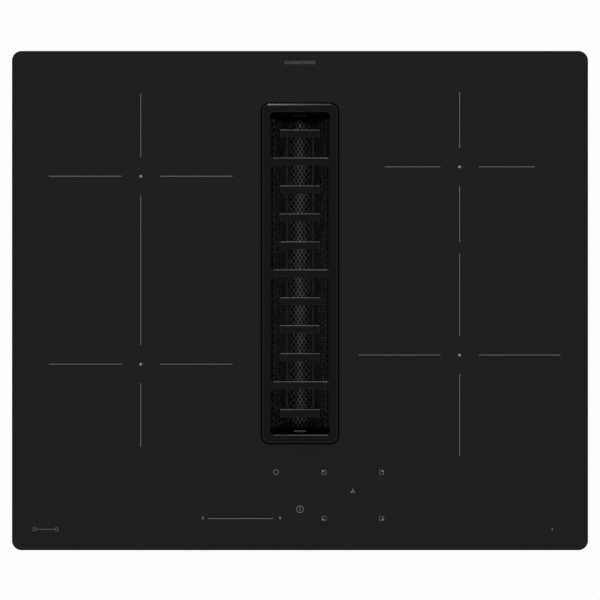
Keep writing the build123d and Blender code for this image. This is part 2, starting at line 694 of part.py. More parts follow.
def build_base_housing():
    """Moulded tub that holds the fan and the drip tray, with a rim screwed under the hob."""
    tub = plate(TUB_W, TUB_L, TUB_R, TUB_H, 0, TUB_AT)
    rim = plate(TUB_W + 2 * RIM_W, TUB_L + 2 * RIM_W, TUB_R + RIM_W, RIM_T, TUB_H - RIM_T, TUB_AT)
    room = plate(TUB_W - 2 * TUB_WALL, TUB_L - 2 * TUB_WALL, TUB_R - TUB_WALL, TUB_H, FLOOR_T, TUB_AT)
    webs = []
    step_y = (TUB_L - 2 * TUB_R) / (LONG_RIM_SCREW_COUNT - 1)
    for y in spread(LONG_RIM_SCREW_COUNT - 1, step_y * (LONG_RIM_SCREW_COUNT - 2), TUB_AT[1]):
        webs += [rim_gusset((TUB_LEFT, y), (-1, 0, 0)), rim_gusset((TUB_RIGHT, y), (1, 0, 0))]
    step_x = RIM_SCREW_SPAN / (SHORT_RIM_SCREW_COUNT - 1)
    for x in spread(SHORT_RIM_SCREW_COUNT - 1, step_x * (SHORT_RIM_SCREW_COUNT - 2), TUB_AT[0]):
        webs += [rim_gusset((x, TUB_FRONT), (0, -1, 0)), rim_gusset((x, TUB_BACK), (0, 1, 0))]
    housing = tub + rim + webs - room
    drip_w = NECK_W - 2 * DRIP_FIT
    saddle_w = drip_w + 2 * CRADLE_FIT
    cradle_w = NECK_W + 2 * COLLAR_T
    for y in spread(2, CRADLE_SPREAD, INTAKE_Y):
        low = (-cradle_w / 2, y - CRADLE_T / 2, FLOOR_T)
        high = (cradle_w / 2, y + CRADLE_T / 2, FLOOR_T + CRADLE_H + CRADLE_LIP_H)
        saddle_low = (-saddle_w / 2, y - CRADLE_T, FLOOR_T + CRADLE_H)
        saddle_high = (saddle_w / 2, y + CRADLE_T, high[2] + CUT_OVER)
        housing += block(low, high) - block(saddle_low, saddle_high)
    housing -= duct_opening(TUB_BACK - TUB_WALL - CUT_OVER, TUB_WALL + 2 * CUT_OVER)
    return housing


def build_housing_cover():
    """Flat cover between the tub and the hob tray, with the collar's opening."""
    cover = plate(TUB_W + 2 * RIM_W, TUB_L + 2 * RIM_W, TUB_R + RIM_W, COVER_T, TUB_H, TUB_AT)
    return cover - plate(TRAY_CUT_W, TRAY_CUT_L, 0, COVER_T, TUB_H, INTAKE_AT)


def build_housing_screws():
    """Screws that hold the tub and its cover under the hob tray."""
    return group([screw_head((x, y, TUB_H - RIM_T), (0, 0, -1)) for x, y in rim_places()])


# ---------------------------------------------------------------- fan casing
def scroll_arcs(grow):
    """Return the four quarter arcs of the scroll, each one step larger than the last."""
    half = SCROLL_HALF
    centres = [(-half, half), (-half, -half), (half, -half), (half, half)]
    arcs = []
    for quarter, (x, y) in enumerate(centres):
        radius = SCROLL_R + quarter * SCROLL_GROWTH + grow
        arcs.append(CenterArc((FAN_X + x, FAN_Y + y), radius, 90 * quarter, 90))
    return arcs


def tongue_point():
    """Return the point where the scroll and the diffuser part."""
    angle = radians(TONGUE_ANGLE)
    x = FAN_X - SCROLL_HALF + SCROLL_R * cos(angle)
    return (x, FAN_Y + SCROLL_HALF + SCROLL_R * sin(angle))


def air_path(grow, back):
    """Return the plan of the scroll and its diffuser, drawn out by grow, open at back."""
    arcs = scroll_arcs(grow)
    spiral = make_face([*arcs, Line(arcs[3] @ 1, arcs[0] @ 0)])
    tongue = tongue_point()
    run = (OUTLET_LEFT - tongue[0], KNEE_Y - tongue[1])
    length = hypot(*run)
    along = (run[0] / length, run[1] / length)
    normal = (along[1], -along[0])
    if normal[1] > 0:
        normal = (-normal[0], -normal[1])
    start = (tongue[0] + normal[0] * grow, tongue[1] + normal[1] * grow)
    left = OUTLET_LEFT - grow
    knee_run = (left - start[0]) / along[0]
    knee = (left, start[1] + along[1] * knee_run)
    right = SCROLL_RIGHT + grow
    side = FAN_Y + SCROLL_HALF
    outline = Polyline((right, side), (right, back), (left, back), knee, start, FAN_AT, (right, side))
    return spiral + make_face(outline)


def scroll_bosses():
    """Return the screw places outside the scroll's wall."""
    places = []
    reach = SCROLL_WALL + BOSS_W / 4
    for quarter, (x, y) in enumerate([(-1, 1), (-1, -1), (1, -1), (1, 1)]):
        if quarter == 0:
            continue
        angle = radians(90 * quarter + 45)
        radius = SCROLL_R + quarter * SCROLL_GROWTH + reach
        middle = (FAN_X + x * SCROLL_HALF, FAN_Y + y * SCROLL_HALF)
        places.append((middle[0] + radius * cos(angle), middle[1] + radius * sin(angle)))
    tongue = tongue_point()
    run = (OUTLET_LEFT - tongue[0], KNEE_Y - tongue[1])
    length = hypot(*run)
    halfway = (tongue[0] + run[0] / 2, tongue[1] + run[1] / 2)
    places.append((halfway[0] - run[1] / length * reach, halfway[1] + run[0] / length * reach))
    return places


def motor_places():
    """Return the places of the motor's rubber mounts."""
    angles = [radians(360 * i / MOUNT_COUNT) for i in range(MOUNT_COUNT)]
    return [(FAN_X + MOUNT_RING_R * cos(a), FAN_Y + MOUNT_RING_R * sin(a)) for a in angles]


def casing_plan():
    """Return the outer plan of the fan casing, within the rounded corners of the tub."""
    room = RectangleRounded(TUB_W - 2 * TUB_WALL, TUB_L - 2 * TUB_WALL, TUB_R - TUB_WALL)
    return air_path(SCROLL_WALL, TUB_BACK - TUB_WALL) & Pos(*TUB_AT) * room


def build_fan_scroll():
    """Casing of the fan: spiral wall, round-nosed tongue, diffuser and a flat floor."""
    back = TUB_BACK - TUB_WALL
    outside = casing_plan()
    inside = air_path(0, back + CUT_OVER)
    casing = Pos(0, 0, FLOOR_T) * extrude(outside, SCROLL_H)
    casing += [square_post(BOSS_W, SCROLL_H, FLOOR_T, at) for at in scroll_bosses()]
    casing -= Pos(0, 0, SCROLL_FLOOR) * extrude(inside, SCROLL_H)
    return casing + disc(TONGUE_R, SCROLL_H, FLOOR_T, tongue_point())


def build_scroll_cover():
    """Lid of the fan casing with an inlet collar over the impeller's eye."""
    lid = Pos(0, 0, SCROLL_TOP) * extrude(casing_plan(), BELL_T)
    lid += [square_post(BOSS_W, BELL_T, SCROLL_TOP, at) for at in scroll_bosses()]
    place = Pos(FAN_X, FAN_Y, SCROLL_TOP + BELL_T)
    collar = place * extrude(RegularPolygon(BELL_R + BELL_T, BELL_SIDE_COUNT), -BELL_DEPTH)
    return lid + collar - place * extrude(RegularPolygon(BELL_R, BELL_SIDE_COUNT), -BELL_DEPTH)


def build_scroll_screws():
    """Screws that hold the fan casing's lid."""
    top = SCROLL_TOP + BELL_T
    return group([screw_head((x, y, top), (0, 0, 1)) for x, y in scroll_bosses()])


# ---------------------------------------------------------------- motor and impeller
def build_motor_mounts():
    """Rubber pads between the motor's flange and the casing floor."""
    return group([hex_post(MOUNT_R, MOUNT_H, SCROLL_FLOOR, at) for at in motor_places()])


def build_motor_screws():
    """Screws that hold the motor's flange down on its rubber pads."""
    return group([screw_head((x, y, MOTOR_SEAT), (0, 0, 1)) for x, y in motor_places()])


def build_fan_motor():
    """Flat motor: an eight-sided stack on a hexagonal flange, bored for the fan's shaft."""
    flange = hex_post(MOTOR_FLANGE_R, MOTOR_FLANGE_T, MOTOR_SEAT - MOTOR_FLANGE_T, FAN_AT)
    stack = Pos(FAN_X, FAN_Y, MOTOR_SEAT) * extrude(RegularPolygon(MOTOR_R, 8), MOTOR_H)
    bearing = disc(SHAFT_R + SHAFT_FIT, SHAFT_DIP + CUT_OVER, MOTOR_TOP - SHAFT_DIP, FAN_AT)
    return flange + stack - bearing


def build_fan_shaft():
    """Steel shaft from the motor up to the top of the impeller's hub."""
    base = MOTOR_TOP - SHAFT_DIP + SHAFT_END_GAP
    return disc(SHAFT_R, NUT_Z - base, base, FAN_AT)


def blade_section():
    """Return the plan of one forward-curved blade."""
    inner_r = IMPELLER_R - BLADE_DEPTH
    start = Vector(inner_r, 0)
    end = Vector(IMPELLER_R - BLADE_T, 0).rotate(Axis.Z, BLADE_SWEEP)
    middle = (start + end) / 2
    across = (end - start).normalized().rotate(Axis.Z, -90)
    return trace(Polyline(start, middle + across * BLADE_BULGE, end), BLADE_T)


def build_fan_impeller():
    """Drum impeller: domed hub over the motor, disc, forward-curved blades and a top ring."""
    hub_in = MOTOR_R + HUB_GAP
    under = HUB_TOP - HUB_T
    rim = RegularPolygon(IMPELLER_R, 2 * BLADE_COUNT)
    hub = Pos(0, 0, DISC_Z) * extrude(RegularPolygon(hub_in + HUB_T, BLADE_COUNT), HUB_TOP - DISC_Z)
    boss = Pos(0, 0, HUB_TOP) * extrude(RegularPolygon(HUB_BOSS_R, BLADE_COUNT // 2), HUB_BOSS_H)
    room = Pos(0, 0, DISC_Z) * extrude(RegularPolygon(hub_in, BLADE_COUNT), under - DISC_Z)
    base = Pos(0, 0, DISC_Z) * extrude(rim, DISC_T)
    blades = Sketch() + PolarLocations(0, BLADE_COUNT) * blade_section()
    blade_h = IMPELLER_TOP - TOP_RING_H - DISC_Z - DISC_T
    drum = Pos(0, 0, DISC_Z + DISC_T) * extrude(blades, blade_h)
    top_ring = rim - RegularPolygon(IMPELLER_R - TOP_RING_W, BLADE_COUNT)
    cap = Pos(0, 0, IMPELLER_TOP - TOP_RING_H) * extrude(top_ring, TOP_RING_H)
    bore = disc(SHAFT_R + SHAFT_FIT, HUB_T + HUB_BOSS_H, under)
    return Pos(FAN_X, FAN_Y, 0) * (base + hub + boss + drum + cap - room - bore)


def build_impeller_nut():
    """Hexagon cap nut that holds the impeller on the end of its shaft."""
    return hex_post(NUT_R, NUT_H, NUT_Z, FAN_AT)


# ---------------------------------------------------------------- duct spigot
def back_plane(y):
    """Return the upright plane at y that looks backwards, centred on the spigot."""
    return Plane(origin=(SPIGOT_X, y, SPIGOT_Z), x_dir=(1, 0, 0), z_dir=(0, 1, 0))


def duct_opening(y, depth):
    """Return the bore of the spigot from y backwards."""
    outline = Rectangle(DUCT_W - 2 * DUCT_T, DUCT_H - 2 * DUCT_T)
    return extrude(back_plane(y) * outline, depth)


def spigot_seats():
    """Return where the heads of the spigot's screws sit."""
    z = SPIGOT_Z + DUCT_H / 2 + SPIGOT_TOP_MARGIN / 2
    y = TUB_BACK + SPIGOT_FLANGE_T
    return [(x, y, z) for x in spread(SPIGOT_SCREW_COUNT, SPIGOT_SCREW_SPAN, SPIGOT_X)]


def build_outlet_spigot():
    """Spigot for flat duct, screwed on the back of the housing."""
    z_low = SPIGOT_Z - DUCT_H / 2 - SPIGOT_MARGIN
    z_high = SPIGOT_Z + DUCT_H / 2 + SPIGOT_TOP_MARGIN
    half = DUCT_W / 2 + SPIGOT_MARGIN
    low = (SPIGOT_X - half, TUB_BACK, z_low)
    high = (SPIGOT_X + half, TUB_BACK + SPIGOT_FLANGE_T, z_high)
    flange = block(low, high)
    collar = extrude(back_plane(TUB_BACK) * RectangleRounded(DUCT_W, DUCT_H, DUCT_R), DUCT_REACH)
    return flange + collar - duct_opening(TUB_BACK - CUT_OVER, DUCT_REACH + 2 * CUT_OVER)


# ---------------------------------------------------------------- hob tray
def louvres():
    """Return the air slots in the tray's back wall."""
    slots = []
    middle_z = TRAY_Z + TRAY_DEPTH / 2
    for side in (-1, 1):
        for x in spread(LOUVRE_COUNT, LOUVRE_PITCH * (LOUVRE_COUNT - 1), side * LOUVRE_X):
            low = (x - LOUVRE_W / 2, TRAY_D / 2 - SHEET_T - CUT_OVER, middle_z - LOUVRE_H / 2)
            high = (x + LOUVRE_W / 2, TRAY_D / 2 + CUT_OVER, middle_z + LOUVRE_H / 2)
            slots.append(block(low, high))
    return slots


def inlet_slots(at):
    """Return the slotted air inlet under a cooling blower."""
    slots = []
    for y in spread(INLET_COUNT, INLET_PITCH * (INLET_COUNT - 1), at[1]):
        slots.append(plate(INLET_W, INLET_SLOT, 0, SHEET_T, TRAY_Z, (at[0], y)))
    return slots


def ear_seats():
    """Return where the screws of the two boxes under the tray sit."""
    seats = []
    for at, length in ((DRIVER_AT, DRIVER_L), (TERMINAL_AT, TERMINAL_L)):
        for side in (-1, 1):
            seats.append((at[0], at[1] + side * (length + EAR_L) / 2, TRAY_Z - EAR_T))
    return seats


def spring_seats():
    """Return the screw seat of each centring spring and the way its head points."""
    z = TRAY_Z + SPRING_LOW + SPRING_FLAT / 2
    return [
        ((side * (TRAY_W / 2 + SPRING_T), y, z), (side, 0, 0))
        for side in (-1, 1)
        for y in spread(2, 2 * SPRING_Y)
    ]


def build_hob_tray():
    """Folded steel casing of the hob, with a flange under the glass."""
    shell = plate(TRAY_W, TRAY_D, 0, TRAY_DEPTH, TRAY_Z)
    inner_w = TRAY_W - 2 * SHEET_T
    inner_d = TRAY_D - 2 * SHEET_T
    shell -= plate(inner_w, inner_d, 0, TRAY_DEPTH, TRAY_FLOOR)
    flange_w = TRAY_W + 2 * TRAY_FLANGE
    flange_d = TRAY_D + 2 * TRAY_FLANGE
    rim = TRAY_FLANGE + SHEET_T
    shell += ring(flange_w, flange_d, 0, rim, SHEET_T, GLASS_Z - SHEET_T)
    lip_w = TRAY_CUT_W + 2 * SHEET_T
    lip_l = TRAY_CUT_L + 2 * SHEET_T
    shell += plate(lip_w, lip_l, 0, TRAY_LIP_H, TRAY_Z, INTAKE_AT)
    shell -= plate(TRAY_CUT_W, TRAY_CUT_L, 0, TRAY_LIP_H, TRAY_Z, INTAKE_AT)
    cuts = louvres()
    for side in (-1, 1):
        cuts += inlet_slots((side * BLOWER_X, BLOWER_Y))
    return shell - cuts


def build_centring_springs():
    """Bent steel strips on the tray's sides that centre the hob in the worktop's cut-out."""
    base = TRAY_Z + SPRING_LOW
    near = SPRING_T / 2
    line = Polyline(
        (near, base),
        (near, base + SPRING_FLAT),
        (near + SPRING_BULGE, base + SPRING_FLAT + SPRING_ARM),
        (near, base + SPRING_FLAT + 2 * SPRING_ARM),
    )
    strip = extrude(trace(line, SPRING_T), SPRING_W)
    pieces = []
    for side in (-1, 1):
        for y in spread(2, 2 * SPRING_Y):
            standing = Rot(90, 0, 0) * strip
            if side < 0:
                standing = mirror(standing, about=Plane.YZ)
            pieces.append(Pos(side * TRAY_W / 2, y + SPRING_W / 2, 0) * standing)
    return group(pieces)


def build_tray_screws():
    """Screws of the centring springs, of the boxes under the tray and of the duct spigot."""
    pieces = [screw_head(seat, out) for seat, out in spring_seats()]
    pieces += [screw_head(seat, (0, 0, -1)) for seat in ear_seats()]
    pieces += [screw_head(seat, (0, 1, 0)) for seat in spigot_seats()]
    return group(pieces)


# ---------------------------------------------------------------- induction coils
def zones():
    """Return the centre and coil radius of each zone: left rear and front, right rear and front."""
    left = (-CARRIER_X - LEFT_ZONE_OUT, LEFT_BACK_GAP, LEFT_BETWEEN, LEFT_COIL_R, LEFT_COIL_R)
    right = (
        CARRIER_X + RIGHT_ZONE_OUT,
        RIGHT_BACK_GAP,
        RIGHT_BETWEEN,
        RIGHT_REAR_COIL_R,
        RIGHT_FRONT_COIL_R,
    )
    places = []
    for x, back_gap, between, rear_r, front_r in (left, right):
        rear_y = CARRIER_BACK - back_gap - rear_r
        front_y = rear_y - rear_r - between - front_r
        places += [((x, rear_y), rear_r), ((x, front_y), front_r)]
    return places


def carrier_middle(side):
    """Return the middle of a coil carrier in plan."""
    return (side * CARRIER_X, (CARRIER_FRONT + CARRIER_BACK) / 2)


def build_coil_carrier(side):
    """Aluminium plate that carries two coils, its outer edges turned down."""
    width = 2 * CARRIER_HALF
    at = carrier_middle(side)
    sheet = plate(width, CARRIER_L, 0, CARRIER_T, CARRIER_Z, at)
    skirt_base = CARRIER_Z - CARRIER_FLANGE_H
    skirt = ring(width, CARRIER_L, 0, CARRIER_T, CARRIER_FLANGE_H, skirt_base, at)
    return sheet + skirt


def build_coil_ferrites():
    """Ferrite bars laid like spokes under each coil."""
    bars = []
    for at, radius in zones():
        length = radius - COIL_BORE_R
        bar = Pos((radius + COIL_BORE_R) / 2, 0, FERRITE_T / 2) * Box(length, FERRITE_W, FERRITE_T)
        for i in range(FERRITE_COUNT):
            turn = 360 * (i + 0.5) / FERRITE_COUNT
            bars.append(Pos(at[0], at[1], FERRITE_Z) * Rot(0, 0, turn) * bar)
    return group(bars)


def build_coil_formers():
    """Eight-sided plates that the coils are wound on."""
    pieces = []
    for at, radius in zones():
        outline = RegularPolygon(radius + FORMER_LAP, 8, major_radius=False, rotation=22.5)
        pieces.append(Pos(at[0], at[1], FORMER_Z) * extrude(outline, FORMER_T))
    return group(pieces)


def build_coil_windings():
    """Flat windings, each as the closed ring that its turns fill."""
    pieces = []
    for at, radius in zones():
        outline = RegularPolygon(radius, COIL_SIDE_COUNT) - RegularPolygon(COIL_BORE_R, COIL_SIDE_COUNT)
        pieces.append(Pos(at[0], at[1], COIL_Z) * extrude(outline, COIL_T))
    return group(pieces)


def build_coil_mica():
    """Thin square mica sheets between the windings and the glass."""
    return group([square_post(2 * (radius + FORMER_LAP), MICA_T, MICA_Z, at) for at, radius in zones()])


def build_coil_sensors():
    """Temperature sensors in the middle of the coils, under the mica."""
    return group([hex_post(SENSOR_R, COIL_T, COIL_Z, at) for at, _ in zones()])


def build_carrier_posts():
    """Posts that stand on the tray and carry the coil carriers."""
    posts = []
    height = CARRIER_Z - TRAY_FLOOR
    inset = POST_INSET + CARRIER_T
    for side in (-1, 1):
        middle = carrier_middle(side)
        for x in spread(2, 2 * CARRIER_HALF - 2 * inset, middle[0]):
            for y in spread(3, CARRIER_L - 2 * inset, middle[1]):
                posts.append(square_post(POST_W, height, TRAY_FLOOR, (x, y)))
    return group(posts)


# ---------------------------------------------------------------- boards
def board_corners(width, length, at):
    """Return the places of a board's four standoffs."""
    xs = spread(2, width - 2 * STANDOFF_INSET, at[0])
    ys = spread(2, length - 2 * STANDOFF_INSET, at[1])
    return [(x, y) for x in xs for y in ys]


def power_board_at(side):
    """Return the middle of a power board."""
    return (side * POWER_BOARD_X, POWER_BOARD_Y)


def build_power_board(side):
    """Printed board of one pair of zones."""
    return plate(POWER_BOARD_W, POWER_BOARD_L, 0, BOARD_T, BOARD_Z, power_board_at(side))


def build_power_parts(side):
    """Capacitors, chokes and cans on a power board."""
    x, y = power_board_at(side)
    base = BOARD_Z + BOARD_T
    parts = []
    for row in spread(4, 3 * CAP_PITCH, y):
        parts.append(plate(CAP_W, CAP_L, 0, CAP_H, base, (x + PART_COLUMN_X, row)))
    for row in spread(3, 2 * CAP_PITCH, y):
        parts.append(square_post(CHOKE_W, CHOKE_H, base, (x - PART_COLUMN_X, row)))
    for column in spread(2, 3 * CAN_R, x):
        parts.append(hex_post(CAN_R, CAN_H, base, (column, y + SINK_L / 2 + 2 * CAN_R)))
    return group(parts)


def build_heatsink(side):
    """Finned aluminium heatsink in the air stream of a cooling blower."""
    x, y = power_board_at(side)
    base = BOARD_Z + BOARD_T
    sink = plate(SINK_W, SINK_L, 0, SINK_BASE_T, base, (x, y))
    for column in spread(SINK_FIN_COUNT, SINK_W - SINK_FIN_T, x):
        low = (column - SINK_FIN_T / 2, y - SINK_L / 2, base + SINK_BASE_T / 2)
        high = (column + SINK_FIN_T / 2, y + SINK_L / 2, base + SINK_BASE_T + SINK_FIN_H)
        sink += block(low, high)
    return sink


def mains_board_at():
    """Return the middle of the mains filter board."""
    return (-POWER_BOARD_X, MAINS_BOARD_Y)


def build_mains_filter_board():
    """Mains filter board with its choke and capacitors."""
    x, y = mains_board_at()
    base = BOARD_Z + BOARD_T
    board = plate(POWER_BOARD_W, MAINS_BOARD_L, 0, BOARD_T, BOARD_Z, (x, y))
    choke = square_post(CHOKE_W, CHOKE_H, base, (x, y))
    columns = spread(2, (POWER_BOARD_W + CHOKE_W) / 2, x)
    caps = [plate(CAP_L, CAP_W, 0, CAP_H, base, (column, y)) for column in columns]
    return group([board, choke, *caps])


def build_board_standoffs():
    """Standoffs between the tray's floor and the boards."""
    places = board_corners(POWER_BOARD_W, MAINS_BOARD_L, mains_board_at())
    for side in (-1, 1):
        places += board_corners(POWER_BOARD_W, POWER_BOARD_L, power_board_at(side))
    return group([square_post(STANDOFF_W, STANDOFF_H, TRAY_FLOOR, at) for at in places])


# ---------------------------------------------------------------- cooling blowers
def blower_at(side):
    """Return the axis of a cooling blower in plan."""
    return (side * BLOWER_X, BLOWER_Y)


def build_cooling_blower(side):
    """Flat radial blower: case with an eye below, a mouth and a bearing in its roof."""
    x, y = blower_at(side)
    case = plate(BLOWER_W, BLOWER_D, 0, BLOWER_H, TRAY_FLOOR, (x, y))
    inner_w = BLOWER_W - 2 * BLOWER_WALL
    inner_d = BLOWER_D - 2 * BLOWER_WALL
    inner_h = BLOWER_H - 2 * BLOWER_WALL
    floor = TRAY_FLOOR + BLOWER_WALL
    case -= plate(inner_w, inner_d, 0, inner_h, floor, (x, y))
    eye = RegularPolygon(BLOWER_EYE_R, BLOWER_EYE_SIDE_COUNT)
    case -= Pos(x, y, TRAY_FLOOR) * extrude(eye, BLOWER_WALL)
    mouth_base = floor + (inner_h - BLOWER_MOUTH_H) / 2
    case -= block(
        (x - BLOWER_MOUTH_W / 2, y + BLOWER_D / 2 - BLOWER_WALL - CUT_OVER, mouth_base),
        (x + BLOWER_MOUTH_W / 2, y + BLOWER_D / 2 + CUT_OVER, mouth_base + BLOWER_MOUTH_H),
    )
    return case - disc(PIN_R + PIN_FIT, BLOWER_WALL, TRAY_FLOOR + BLOWER_H - BLOWER_WALL, (x, y))


def build_cooling_rotor(side):
    """Rotor of a cooling blower: top plate, hub, straight blades below and its pin above."""
    at = blower_at(side)
    roof = TRAY_FLOOR + BLOWER_H - BLOWER_WALL
    top = roof - ROTOR_DROP
    sheet = RegularPolygon(ROTOR_R, ROTOR_BLADE_COUNT)
    hub = RegularPolygon(ROTOR_HUB_R, ROTOR_BLADE_COUNT)
    rotor = extrude(sheet, -ROTOR_DISC_T) + extrude(hub, -ROTOR_H)
    blade = Rectangle(ROTOR_BLADE_DEPTH, ROTOR_BLADE_T)
    blade_x = ROTOR_R - ROTOR_BLADE_DEPTH / 2 - ROTOR_BLADE_T
    blades = Sketch() + PolarLocations(blade_x, ROTOR_BLADE_COUNT) * blade
    rotor += extrude(blades, -ROTOR_H)
    return Pos(at[0], at[1], top) * rotor + disc(PIN_R, ROTOR_DROP + BLOWER_WALL, top, at)


# ---------------------------------------------------------------- touch controls
def touch_places():
    """Return the centres of the touch fields under the glass."""
    front = -GLASS_D / 2
    keys = [(x, front + inward) for x, inward in KEY_PLACES]
    slider = [(x, front + SLIDER_FRONT) for x in spread(SLIDER_FIELD_COUNT, SLIDER_L, SLIDER_X)]
    return keys + slider


def touch_board_at():
    """Return the middle of the touch board in plan."""
    return (TOUCH_X, TOUCH_FRONT - GLASS_D / 2)


def build_touch_board():
    """Printed board of the touch controls."""
    return plate(TOUCH_BOARD_W, TOUCH_BOARD_D, 0, BOARD_T, TOUCH_BOARD_Z, touch_board_at())


def build_touch_contacts():
    """Conductive foam contacts between the touch board and the glass."""
    base = TOUCH_BOARD_Z + BOARD_T
    return group([square_post(TOUCH_CONTACT_W, TOUCH_GAP, base, at) for at in touch_places()])


def build_touch_carrier():
    """Plastic carrier that holds the touch board up on four legs."""
    at = touch_board_at()
    width = TOUCH_BOARD_W + 2 * TOUCH_TRAY_RIM
    length = TOUCH_BOARD_D + 2 * TOUCH_TRAY_RIM
    base = TOUCH_BOARD_Z - TOUCH_TRAY_T
    floor = plate(width, length, 0, TOUCH_TRAY_T, base, at)
    rim = ring(width, length, 0, TOUCH_TRAY_RIM - LID_FIT, BOARD_T, TOUCH_BOARD_Z, at)
    legs = []
    for x in spread(2, width - 2 * TOUCH_LEG_INSET, at[0]):
        for y in spread(2, length - 2 * TOUCH_LEG_INSET, at[1]):
            legs.append(square_post(TOUCH_LEG_W, base - TRAY_FLOOR, TRAY_FLOOR, (x, y)))
    return floor + rim + legs


# ---------------------------------------------------------------- boxes under the tray
def hung_box(width, length, height, at):
    """Return a box that hangs under the tray, open below, with a screw ear at each end."""
    box = plate(width, length, 0, height, TRAY_Z - height, at)
    for side in (-1, 1):
        ear_at = (at[0], at[1] + side * (length / 2 + EAR_L / 2 - BOX_WALL / 2))
        box += plate(EAR_W, EAR_L + BOX_WALL, 0, EAR_T, TRAY_Z - EAR_T, ear_at)
    inner_w = width - 2 * BOX_WALL
    inner_l = length - 2 * BOX_WALL
    room_h = height - BOX_WALL
    return box - plate(inner_w, inner_l, 0, room_h, TRAY_Z - height, at)


def build_driver_box():
    """Case of the fan's driver, with four posts for its board."""
    box = hung_box(DRIVER_W, DRIVER_L, DRIVER_H, DRIVER_AT)
    top = TRAY_Z - BOX_WALL
    places = board_corners(DRIVER_W - 2 * BOX_WALL, DRIVER_L - 2 * BOX_WALL, DRIVER_AT)
    return box + [square_post(STANDOFF_W, DRIVER_POST_H, top - DRIVER_POST_H, at) for at in places]


def build_driver_board():
    """Driver board with its capacitors, hung from the posts of its box."""
    board_top = TRAY_Z - BOX_WALL - DRIVER_POST_H
    width = DRIVER_W - 2 * BOX_WALL - 2 * LID_FIT
    length = DRIVER_L - 2 * BOX_WALL - 2 * LID_FIT
    board = plate(width, length, 0, BOARD_T, board_top - BOARD_T, DRIVER_AT)
    under = board_top - BOARD_T
    height = DRIVER_H / 3
    parts = [
        plate(CAP_W, CAP_L, 0, height, under - height, (DRIVER_AT[0], y))
        for y in spread(2, DRIVER_L / 2, DRIVER_AT[1])
    ]
    return group([board, *parts])


def build_driver_lid():
    """Lid of the driver case with a lip inside its walls."""
    base = TRAY_Z - DRIVER_H - LID_T
    lid = plate(DRIVER_W, DRIVER_L, 0, LID_T, base, DRIVER_AT)
    lip_w = DRIVER_W - 2 * BOX_WALL - 2 * LID_FIT
    lip_l = DRIVER_L - 2 * BOX_WALL - 2 * LID_FIT
    return lid + ring(lip_w, lip_l, 0, BOX_WALL, LID_LIP_H, base + LID_T, DRIVER_AT)


def clamp_post_places():
    """Return the places of the posts that carry the cord clamp."""
    y = TERMINAL_Y + TERMINAL_L / 2 - BOX_WALL - CLAMP_INSET
    return [(TERMINAL_X - CLAMP_POST_X, y), (TERMINAL_X + CLAMP_POST_X, y)]


def hinge_knuckle(middle_x, length, bore):
    """Return one barrel of the terminal cover's hinge."""
    plane = Plane(origin=(middle_x - length / 2, HINGE_Y, HINGE_Z), x_dir=(0, 1, 0), z_dir=(1, 0, 0))
    return extrude(plane * (Circle(HINGE_R) - Circle(bore)), length)


def hinge_places():
    """Return the middles of the box's outer knuckles."""
    return spread(2, TERMINAL_W - 2 * BOX_WALL - KNUCKLE_L, TERMINAL_X)


def build_terminal_box():
    """Box for the mains connection, with its cable hole, clamp posts and hinge ears."""
    box = hung_box(TERMINAL_W, TERMINAL_L, TERMINAL_H, TERMINAL_AT)
    top = TRAY_Z - BOX_WALL
    post_h = CABLE_DROP + CABLE_HOLE_R + CABLE_FIT - BOX_WALL
    box += [square_post(CLAMP_POST_W, post_h, top - post_h, at) for at in clamp_post_places()]
    front = TERMINAL_Y - TERMINAL_L / 2
    rim_z = TRAY_Z - TERMINAL_H
    for x in hinge_places():
        ear_low = (x - KNUCKLE_L / 2, HINGE_Y - HINGE_EAR, HINGE_Z - HINGE_EAR)
        ear_high = (x + KNUCKLE_L / 2, HINGE_Y + HINGE_EAR, rim_z)
        arm_low = (ear_low[0], ear_low[1], rim_z)
        arm_high = (ear_high[0], front, rim_z + KNUCKLE_L / 2)
        box += block(ear_low, ear_high) + block(arm_low, arm_high) - hinge_bore(x, KNUCKLE_L)
    outside = (TERMINAL_X, TERMINAL_Y + TERMINAL_L / 2 + CUT_OVER, TRAY_Z - CABLE_DROP)
    hole = Plane(origin=outside, z_dir=(0, 1, 0)) * Circle(CABLE_HOLE_R)
    return box - extrude(hole, -BOX_WALL - 2 * CUT_OVER)


def hinge_bore(middle_x, length):
    """Return the hole through one knuckle of the hinge."""
    plane = Plane(origin=(middle_x - length / 2, HINGE_Y, HINGE_Z), x_dir=(0, 1, 0), z_dir=(1, 0, 0))
    return extrude(plane * Circle(HINGE_PIN_R + HINGE_FIT), length)


def build_terminal_cover():
    """Cover of the terminal box, hinged at its front edge."""
    base = TRAY_Z - TERMINAL_H - LID_T
    cover = plate(TERMINAL_W, TERMINAL_L, 0, LID_T, base, TERMINAL_AT)
    outer = hinge_places()
    length = outer[1] - outer[0] - KNUCKLE_L - 2 * KNUCKLE_GAP
    front = TERMINAL_Y - TERMINAL_L / 2
    leaf = block(
        (TERMINAL_X - length / 2, HINGE_Y, base),
        (TERMINAL_X + length / 2, front + LID_T, base + LID_T),
    )
    return cover + leaf + hinge_knuckle(TERMINAL_X, length, HINGE_PIN_R) - hinge_bore(TERMINAL_X, length)


def build_terminal_hinge_pin():
    """Pin through the hinge of the terminal cover."""
    outer = hinge_places()
    length = outer[1] - outer[0] + KNUCKLE_L
    plane = Plane(
        origin=(TERMINAL_X - length / 2, HINGE_Y, HINGE_Z), x_dir=(0, 1, 0), z_dir=(1, 0, 0)
    )
    return extrude(plane * Circle(HINGE_PIN_R), length)


